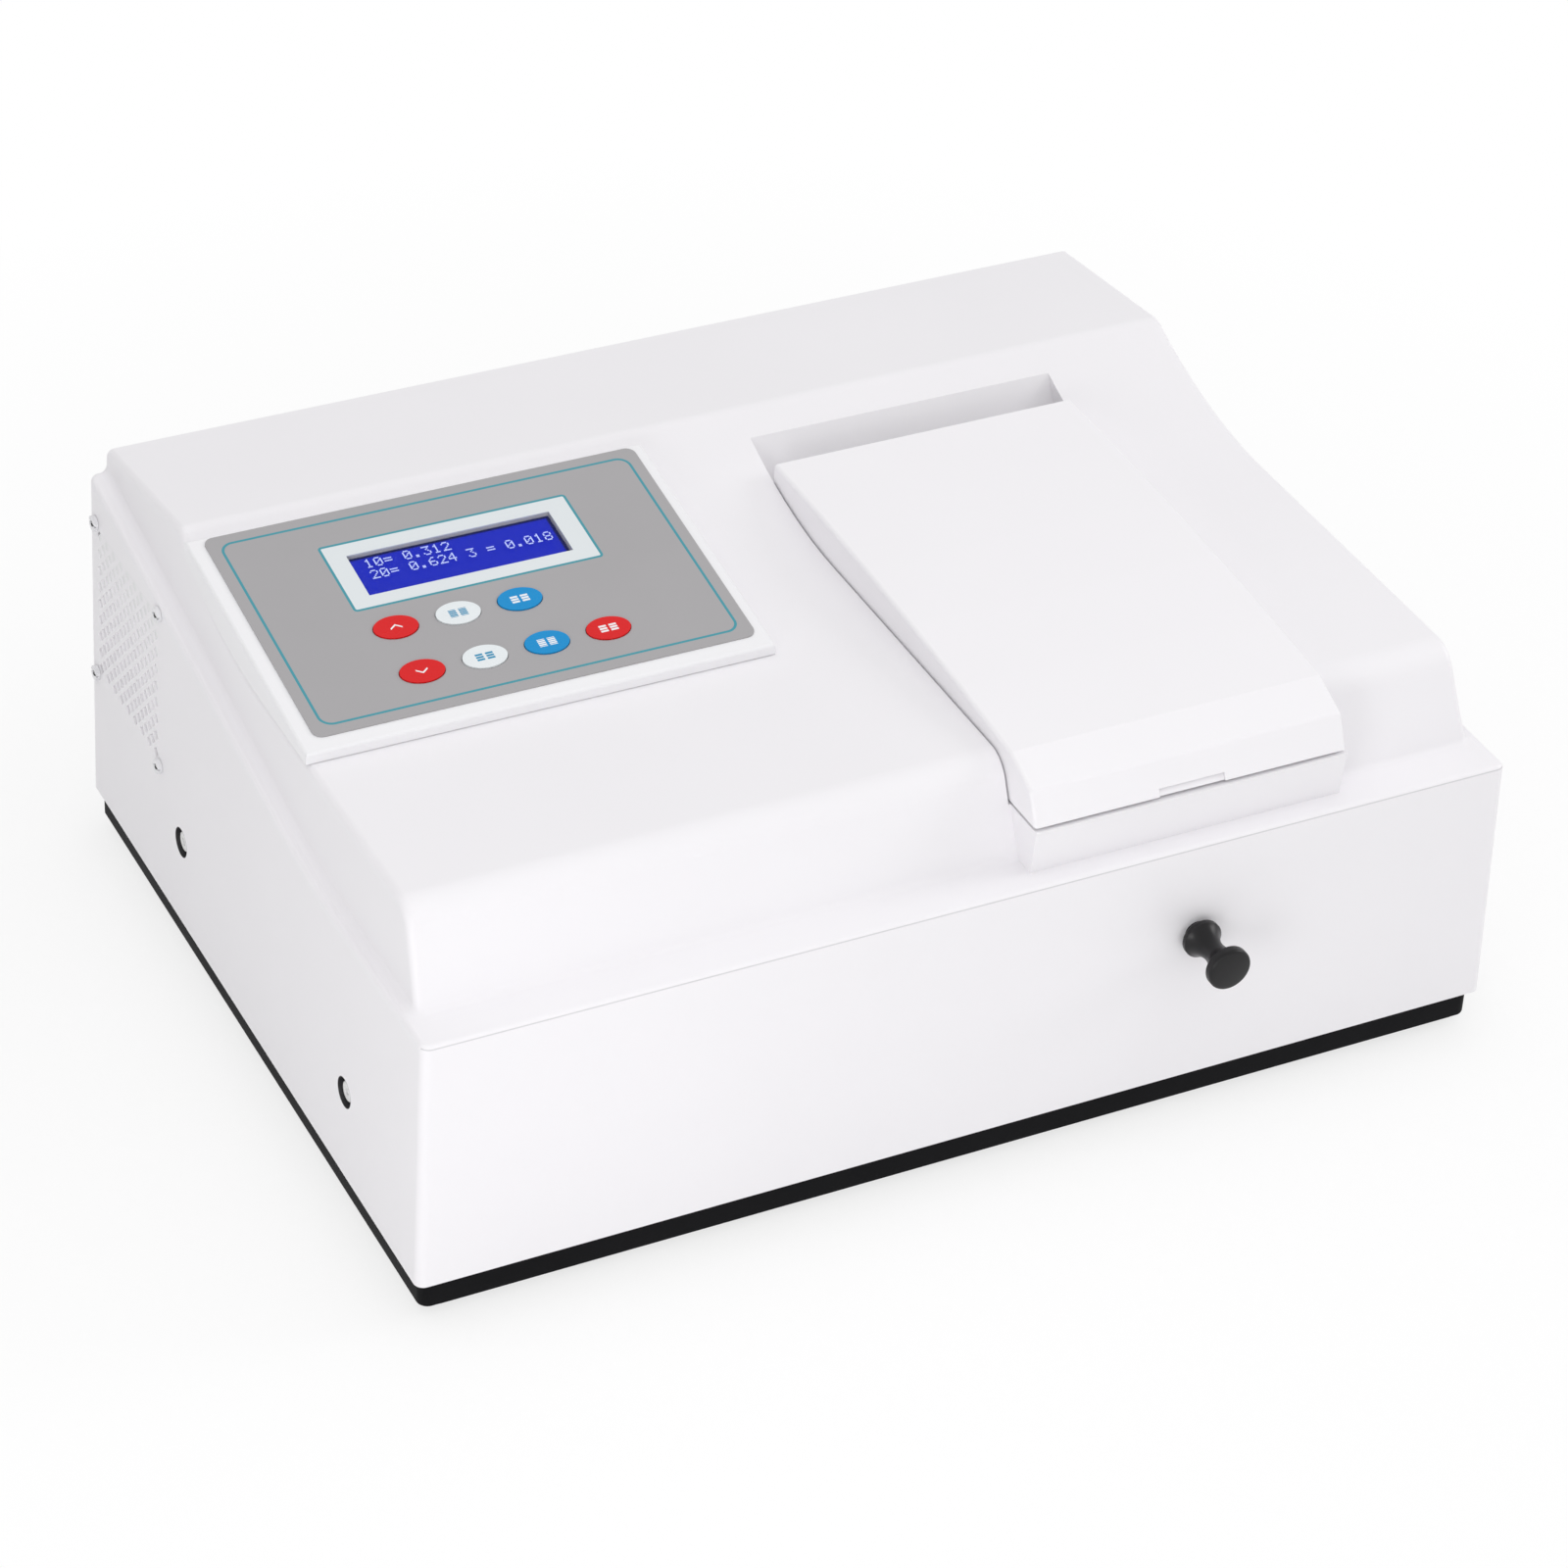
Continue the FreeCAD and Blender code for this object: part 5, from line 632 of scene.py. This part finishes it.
# %% Display digits
DIGITS = {
    "0": (14, 17, 19, 21, 25, 17, 14), "1": (4, 12, 4, 4, 4, 4, 14), "2": (14, 17, 1, 2, 4, 8, 31),
    "3": (31, 2, 4, 2, 1, 17, 14), "4": (2, 6, 10, 18, 31, 2, 2), "6": (6, 8, 16, 30, 17, 17, 14),
    "8": (14, 17, 17, 14, 17, 17, 14), "=": (0, 0, 31, 0, 31, 0, 0), ".": (0, 0, 0, 0, 0, 12, 12),
}
LINES = (" 10= 0.312", " 20= 0.624 3 = 0.018")
DOT_PITCH, DOT_SIZE = (0.66, 0.72), (0.56, 0.62)
CELL_PITCH, LINE_PITCH = 4.02, 6.6
TEXT_LEFT, TEXT_TOP = 57.0, 94.6
DOT_HEIGHT = 0.03


def dot_places(lines):
    """Across and along of every lit dot, from the table's rows of five bits."""
    found = []
    for line, text in enumerate(lines):
        for cell, letter in enumerate(text):
            rows = np.array(DIGITS.get(letter, (0,) * 7))
            lit_rows, lit_columns = np.nonzero(rows[:, None] >> np.arange(4, -1, -1) & 1)
            found.append(np.stack([TEXT_LEFT + CELL_PITCH * cell + DOT_PITCH[0] * lit_columns,
                                   TEXT_TOP - LINE_PITCH * line - DOT_PITCH[1] * lit_rows], -1))
    return np.concatenate(found)


def plates(centres, size, low, high):
    """A thin closed plate at each centre: eight corners and six faces, copied by adding arrays."""
    corner = np.array([(i, j, k) for k in (0, 1) for j in (0, 1) for i in (0, 1)], float)
    across = centres[:, None, 0] + (corner[None, :, 0] - 0.5) * size[0]
    along = centres[:, None, 1] + (corner[None, :, 1] - 0.5) * size[1]
    up = low + (high - low) * corner[None, :, 2]
    points = panel_points(across, along, up).reshape(-1, 3)
    faces = np.array([(0, 2, 3, 1), (4, 5, 7, 6), (0, 1, 5, 4), (2, 6, 7, 3), (0, 4, 6, 2),
                      (1, 3, 7, 5)])
    every = (faces[None] + 8 * np.arange(len(centres))[:, None, None]).reshape(-1, 4)
    return points, every


def new_piece(name, points, faces, finish, body, slot, smooth=None):
    """A piece with doubles merged and faces turned outwards, shaded smooth up to the angle if given."""
    mesh = bpy.data.meshes.new(name)
    mesh.from_pydata(points.tolist(), [], [list(face) for face in faces])
    shape = bmesh.new()
    shape.from_mesh(mesh)
    bmesh.ops.remove_doubles(shape, verts=shape.verts, dist=0.000001)
    bmesh.ops.recalc_face_normals(shape, faces=shape.faces)
    shape.to_mesh(mesh)
    shape.free()
    if smooth is not None:
        mesh.shade_smooth()
        mesh.set_sharp_from_angle(angle=smooth)
    piece = bpy.data.objects.new(name, mesh)
    bpy.context.scene.collection.objects.link(piece)
    wear(piece, finish)
    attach(piece, body)
    return piece


dots = dot_places(LINES)
new_piece("display_digits", *plates(dots, DOT_SIZE, 0.0, DOT_HEIGHT), digit_light, "case",
          "display_clear")
print("lit dots:", len(dots))

# %% [markdown]
# The knob and the side screws are made as on a lathe: a profile is drawn beside an axis and carried
# round it. A Screw modifier does the same, but arrays say in the open where every point lies. The
# profile is a list of distances along the axis with radii, and arcs round its corners.

# %% Lathe
STEPS, ARC_POINTS = 96, 9
SMOOTH = math.radians(40.0)


def arc(middle, radius, start, end, count=ARC_POINTS):
    """From start to end in degrees, each point is the middle plus radius times cosine and sine."""
    turn = np.radians(np.linspace(start, end, count))
    return np.array(middle) + radius * np.stack([np.cos(turn), np.sin(turn)], -1)


def grid_faces(rows, columns):
    """Quads between neighbouring rows of a grid of points whose last column joins its first."""
    row = np.arange(rows - 1)[:, None] * columns
    column = np.arange(columns)[None, :]
    after = (column + 1) % columns
    return np.stack([row + column, row + after, row + columns + after, row + columns + column],
                    -1).reshape(-1, 4)


def turned(profile, middle, axis):
    """Each profile point goes along the axis, and out by its radius in a direction that turns round.

    The direction is side times the turn's cosine plus lift times its sine; both stand square to
    the axis.
    """
    axis = np.array(axis, float)
    side = np.cross(axis, (0.0, 0.0, 1.0))
    lift = np.cross(axis, side)
    t = np.linspace(0.0, 2.0 * np.pi, STEPS, endpoint=False)
    ring = np.cos(t)[:, None] * side + np.sin(t)[:, None] * lift
    along, radius = np.asarray(profile, float).T
    points = np.array(middle) + along[:, None, None] * axis + radius[:, None, None] * ring[None]
    return points.reshape(-1, 3) / 1000.0, grid_faces(len(along), STEPS)


print("points in a ring:", STEPS)

# %% [markdown]
# The pull knob is a spool of black plastic. Its back flange is small and round, its waist is where
# the fingers grip, and its wide face is slightly domed with a soft rim that catches the light. Three
# cylinders would show hard steps, so the waist is half a wave of a sine, made a little fuller by a
# power, between the two flanges.

# %% Pull knob
KNOB_MIDDLE, KNOB_LENGTH = (92.0, -174.8, 86.6), 24.5
BACK_RADIUS, WAIST_RADIUS, FACE_RADIUS = 8.0, 4.4, 9.0
WAIST_FROM, WAIST_TO, WAIST_COUNT, WAIST_POWER = 2.9, 19.6, 25, 0.8
BACK_EDGE, WAIST_EDGE, FACE_EDGE = 1.4, 1.0, 1.3
DOME = ((0.35, 6.4), (0.12, 3.2), (0.0, 0.0))
DOME_DEPTH = 0.6

waist_along = np.linspace(WAIST_FROM, WAIST_TO, WAIST_COUNT)
swing = (waist_along - WAIST_FROM) / (WAIST_TO - WAIST_FROM)
rim = BACK_RADIUS + (FACE_RADIUS - BACK_EDGE - BACK_RADIUS) * swing
waist = rim - (rim - WAIST_RADIUS) * np.sin(np.pi * swing) ** WAIST_POWER
knob_profile = np.concatenate([
    [(0.0, 0.0), (0.0, BACK_RADIUS - BACK_EDGE)],
    arc((BACK_EDGE, BACK_RADIUS - BACK_EDGE), BACK_EDGE, 180.0, 90.0),
    np.stack([waist_along, waist], -1),
    arc((WAIST_TO + WAIST_EDGE, FACE_RADIUS - WAIST_EDGE), WAIST_EDGE, 150.0, 90.0),
    arc((KNOB_LENGTH - DOME_DEPTH - FACE_EDGE, FACE_RADIUS - FACE_EDGE), FACE_EDGE, 90.0, 10.0),
    [(KNOB_LENGTH - lower, radius) for lower, radius in DOME]])
knob = new_piece("turned_knob", *turned(knob_profile, KNOB_MIDDLE, (0.0, -1.0, 0.0)), knob_black,
                 "rack", "knob_black", SMOOTH)
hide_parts("pull_knob")
print("knob points:", len(knob.data.vertices))

# %% [markdown]
# Each side has two screws, down in a cup. The head is a bright cylinder with a soft edge, about two
# millimetres lower than the panel, and a small socket is turned into its middle. The shank runs on
# through the cup's floor into the bracket, as in the solid model. A copied object would do for each
# of the four, but one mesh keeps them one piece, as in the frame.

# %% Side screws
SIDE_PANEL, HEAD_BELOW, CUP_FLOOR, SCREW_TIP = 230.0, 1.9, 217.0, 206.6
HEAD_RADIUS, SHANK_RADIUS, SOCKET_RADIUS, SOCKET_DEPTH = 4.3, 2.0, 1.7, 1.2
HEAD_EDGE, TIP_BEVEL, SOCKET_BEVEL = 0.9, 0.4, 0.2

face_x = SIDE_PANEL - HEAD_BELOW
screw_profile = np.concatenate([
    [(SCREW_TIP, 0.0), (SCREW_TIP, SHANK_RADIUS - TIP_BEVEL), (SCREW_TIP + TIP_BEVEL, SHANK_RADIUS),
     (CUP_FLOOR, SHANK_RADIUS), (CUP_FLOOR, HEAD_RADIUS)],
    arc((face_x - HEAD_EDGE, HEAD_RADIUS - HEAD_EDGE), HEAD_EDGE, 90.0, 0.0),
    [(face_x, SOCKET_RADIUS + SOCKET_BEVEL), (face_x - SOCKET_BEVEL, SOCKET_RADIUS),
     (face_x - SOCKET_DEPTH, SOCKET_RADIUS), (face_x - SOCKET_DEPTH, 0.0)]])
parts = [turned(screw_profile, (0.0, y, CUP_HEIGHT), (side, 0.0, 0.0))
         for side in (-1.0, 1.0) for y in CUP_PLACES]
screw_points = np.concatenate([points for points, _ in parts])
screw_faces = np.concatenate([faces + len(parts[0][0]) * k for k, (_, faces) in enumerate(parts)])
side_screws = new_piece("side_screws", screw_points, screw_faces, screw_bright, "case",
                        "screw_steel", SMOOTH)
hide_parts("cover_screws")
print("screws:", len(parts))

# %% [markdown]
# The black tray that everything stands on shows as a thin line along the bottom edge. Its folded
# rim reaches a little farther to the sides than the tray's floor. A curve with a profile object would
# draw it, but that object would stay in the scene. So the rim is one profile in an array, a thin
# upright rectangle, carried along a path down the left side, across the front and up the right.

# %% Tray rim
RIM_HALF, RIM_FRONT, RIM_REAR = 227.3, -170.2, 168.0
RIM_LOW, RIM_HIGH, RIM_THICK, RIM_CORNER = 4.9, 17.9, 4.2, 4.6
RIM_EDGE, RIM_BEND = 0.8, 0.2


def carried(profile, path, outward):
    """A profile point's first number goes outward from each point of the path, its second up."""
    points = np.empty((len(path), len(profile), 3))
    points[..., :2] = path[:, None] + profile[None, :, :1] * outward[:, None]
    points[..., 2] = profile[None, :, 1]
    count = len(profile)
    ends = np.array([np.arange(count)[::-1], np.arange(count) + (len(path) - 1) * count])
    return points.reshape(-1, 3) / 1000.0, grid_faces(len(path), count), ends


turn_left = arc((-RIM_HALF + RIM_CORNER, RIM_FRONT + RIM_CORNER), RIM_CORNER, 180.0, 270.0)
turn_right = arc((RIM_HALF - RIM_CORNER, RIM_FRONT + RIM_CORNER), RIM_CORNER, 270.0, 360.0)
rim_path = np.concatenate([[(-RIM_HALF, RIM_REAR)], turn_left, turn_right, [(RIM_HALF, RIM_REAR)]])
quarter = np.radians(np.concatenate([[180.0], np.linspace(180.0, 270.0, ARC_POINTS),
                                     np.linspace(270.0, 360.0, ARC_POINTS), [360.0]]))
rim_outward = np.stack([np.cos(quarter), np.sin(quarter)], -1)
rim_profile = np.array([(-RIM_THICK, RIM_LOW), (-RIM_EDGE, RIM_LOW), (-RIM_BEND, RIM_LOW + RIM_BEND),
                        (0.0, RIM_LOW + RIM_EDGE), (0.0, RIM_HIGH), (-RIM_THICK, RIM_HIGH)])
rim_points, rim_faces, rim_ends = carried(rim_profile, rim_path, rim_outward)
tray_rim = new_piece("tray_rim", rim_points, [*rim_faces.tolist(), *rim_ends.tolist()], base_black,
                     "case", "base_black", SMOOTH)
print("rim faces:", len(tray_rim.data.polygons))

# %% [markdown]
# The finger notch in the lid's lip is a shallow scoop, not a deep slot. The lid's own mesh could be
# edited, but it stays as the frame gives it, and a small white wedge closes the notch's back: flush
# at the bottom, and leaning away from the viewer towards the top. Behind the vents, a pale screen
# keeps the dust out, so that the vents look light and not black. Both are outlines carried straight.

# %% Notch scoop and vent screen
NOTCH_X, NOTCH_Z = (75.3, 103.7), (148.45, 151.2)
SCOOP_FRONT, SCOOP_TOP, SCOOP_BACK = -162.5, -159.6, -157.6
SCREEN_X, SCREEN_HALF, SCREEN_CORNER = (-226.9, -226.3), 34.0, 6.0


def prism(outline, low, high, place):
    """An outline carried straight from low to high; place says which of its measures are x, y and z."""
    outline = np.array(outline, float)
    count = len(outline)
    flat = np.concatenate([np.c_[outline, np.full(count, end)] for end in (low, high)])
    caps = [np.arange(count)[::-1].tolist(), (np.arange(count) + count).tolist()]
    return flat[:, place] / 1000.0, grid_faces(2, count).tolist() + caps


scoop_outline = [(SCOOP_FRONT, NOTCH_Z[0]), (SCOOP_TOP, NOTCH_Z[1]), (SCOOP_BACK, NOTCH_Z[1]),
                 (SCOOP_BACK, NOTCH_Z[0])]
new_piece("notch_scoop", *prism(scoop_outline, *NOTCH_X, [2, 0, 1]), lid_white, "lid", "cover_white")
inner = SCREEN_HALF - SCREEN_CORNER
screen_outline = np.concatenate([
    arc((FAN_MIDDLE[0] + a * inner, FAN_MIDDLE[1] + b * inner), SCREEN_CORNER, start, start + 90.0)
    for a, b, start in ((1, 1, 0.0), (-1, 1, 90.0), (-1, -1, 180.0), (1, -1, 270.0))])
new_piece("vent_screen", *prism(screen_outline, *SCREEN_X, [2, 0, 1]), screen_pale, "case",
          "cover_white")
print("scoop and screen outlines have", len(scoop_outline), "and", len(screen_outline), "points")

# %% [markdown]
# The bench is a plain pale floor that turns into pure white a little way off, as in a catalogue. A
# floor that glows for every ray would light the object from below, so its emission is mixed in only
# for rays that come from the camera, from a reflection or through glass.

# %% Floor
floor_paint = Finish("floor_pale", (0.9, 0.9, 0.9), 0.9)
floor_paint.set(Base_Color=tinted(floor_paint, (0.9, 0.9, 0.9), 0.005, 2.0))
WHITE_SHARE, WHITE_FROM, WHITE_OVER = 0.74, 330.0, 330.0
glow = floor_paint.add("Emission", Color=(1.0, 1.0, 1.0), Strength=1.0)
seen = [floor_paint.add("LightPath", output=name) for name in
        ("Is Camera Ray", "Is Glossy Ray", "Is Transmission Ray")]
x, y, z = floor_paint.place()
far = (((x * x + y * y).apply("SQRT") - WHITE_FROM) * (1.0 / WHITE_OVER)).clamped()
white = far * (1.0 - WHITE_SHARE) + WHITE_SHARE
share = seen[0].apply("MAXIMUM", seen[1]).apply("MAXIMUM", seen[2]) * white
both = floor_paint.add("MixShader", **{"0": share, "2": glow})
floor_paint.tree.links.new(floor_paint.shader.outputs[0], both.socket.node.inputs[1])
floor_paint.tree.links.new(both.socket, floor_paint.output.inputs["Surface"])
FLOOR_HALF = 6.0
corners = np.array([(-1, -1, 0), (1, -1, 0), (1, 1, 0), (-1, 1, 0)]) * FLOOR_HALF
floor_mesh = bpy.data.meshes.new("floor")
floor_mesh.from_pydata(corners.tolist(), [], [(0, 1, 2, 3)])
floor = bpy.data.objects.new("floor", floor_mesh)
bpy.context.scene.collection.objects.link(floor)
wear(floor, floor_paint)
print("floor in metres:", 2 * FLOOR_HALF)

# %% [markdown]
# The sky does the same: the camera and the reflections see plain white, and the object is lit by a
# softer sky that is brightest overhead and dark at the horizon. A picture of a studio could stand in
# for it, but a strength that follows the height needs no file.

# %% Sky
SKY = 1.64
world = bpy.data.worlds.new("studio")
bpy.context.scene.world = world
world.use_nodes = True
world_nodes, world_links = world.node_tree.nodes, world.node_tree.links
world_nodes.clear()
world_out = world_nodes.new("ShaderNodeOutputWorld")
sky = world_nodes.new("ShaderNodeBackground")
toward = world_nodes.new("ShaderNodeTexCoord")
split = world_nodes.new("ShaderNodeSeparateXYZ")
height = world_nodes.new("ShaderNodeMath")
height.operation, height.use_clamp = "MULTIPLY", True
height.inputs[1].default_value = 1.0
strength = world_nodes.new("ShaderNodeMath")
strength.operation = "MULTIPLY"
strength.inputs[1].default_value = SKY
world_links.new(toward.outputs["Generated"], split.inputs[0])
world_links.new(split.outputs["Z"], height.inputs[0])
world_links.new(height.outputs[0], strength.inputs[0])
world_links.new(strength.outputs[0], sky.inputs["Strength"])
plain_white = world_nodes.new("ShaderNodeBackground")
chooser = world_nodes.new("ShaderNodeMixShader")
ray = world_nodes.new("ShaderNodeLightPath")
either = ray.outputs["Is Camera Ray"]
for kind in ("Is Glossy Ray", "Is Transmission Ray"):
    step = world_nodes.new("ShaderNodeMath")
    step.operation = "MAXIMUM"
    world_links.new(either, step.inputs[0])
    world_links.new(ray.outputs[kind], step.inputs[1])
    either = step.outputs[0]
world_links.new(either, chooser.inputs[0])
world_links.new(sky.outputs[0], chooser.inputs[1])
world_links.new(plain_white.outputs[0], chooser.inputs[2])
world_links.new(chooser.outputs[0], world_out.inputs["Surface"])
print("world nodes:", len(world_nodes))

# %% [markdown]
# Four soft panels do the rest: a large one far off at the right, and three weak ones low at the front
# and left. One strong lamp would draw a hard shadow. With these, the front is the brightest side, the
# left side falls off towards the rear, and the knob's shadow lies to its left.

# %% Lamps
def panel_light(name, place, target, size, power):
    """A square soft light that faces its target."""
    light = bpy.data.lights.new(name, "AREA")
    light.size = size
    light.energy = power
    lamp = bpy.data.objects.new(name, light)
    lamp.visible_camera = False
    bpy.context.scene.collection.objects.link(lamp)
    away = np.array(place) - np.array(target)
    away = away / np.linalg.norm(away)
    side = np.cross((0.0, 0.0, 1.0), away)
    side = side / np.linalg.norm(side)
    lamp.matrix_world = facing(side, np.cross(away, side), away, np.array(place))


panel_light("right_light", (2.4, -0.5, 1.2), (0.0, 0.0, 0.1), 1.0, 15.0)
panel_light("left_light", (-0.95, -0.95, 0.35), (-0.2, -0.15, 0.1), 0.5, 2.34)
panel_light("near_light", (-0.62, -0.75, 0.25), (-0.2, -0.17, 0.08), 0.3, 0.51)
panel_light("front_light", (-0.15, -1.2, 0.25), (-0.05, -0.17, 0.07), 0.6, 1.15)

bpy.context.scene.view_settings.view_transform = "Standard"
print("lamps:", len(bpy.data.lights))
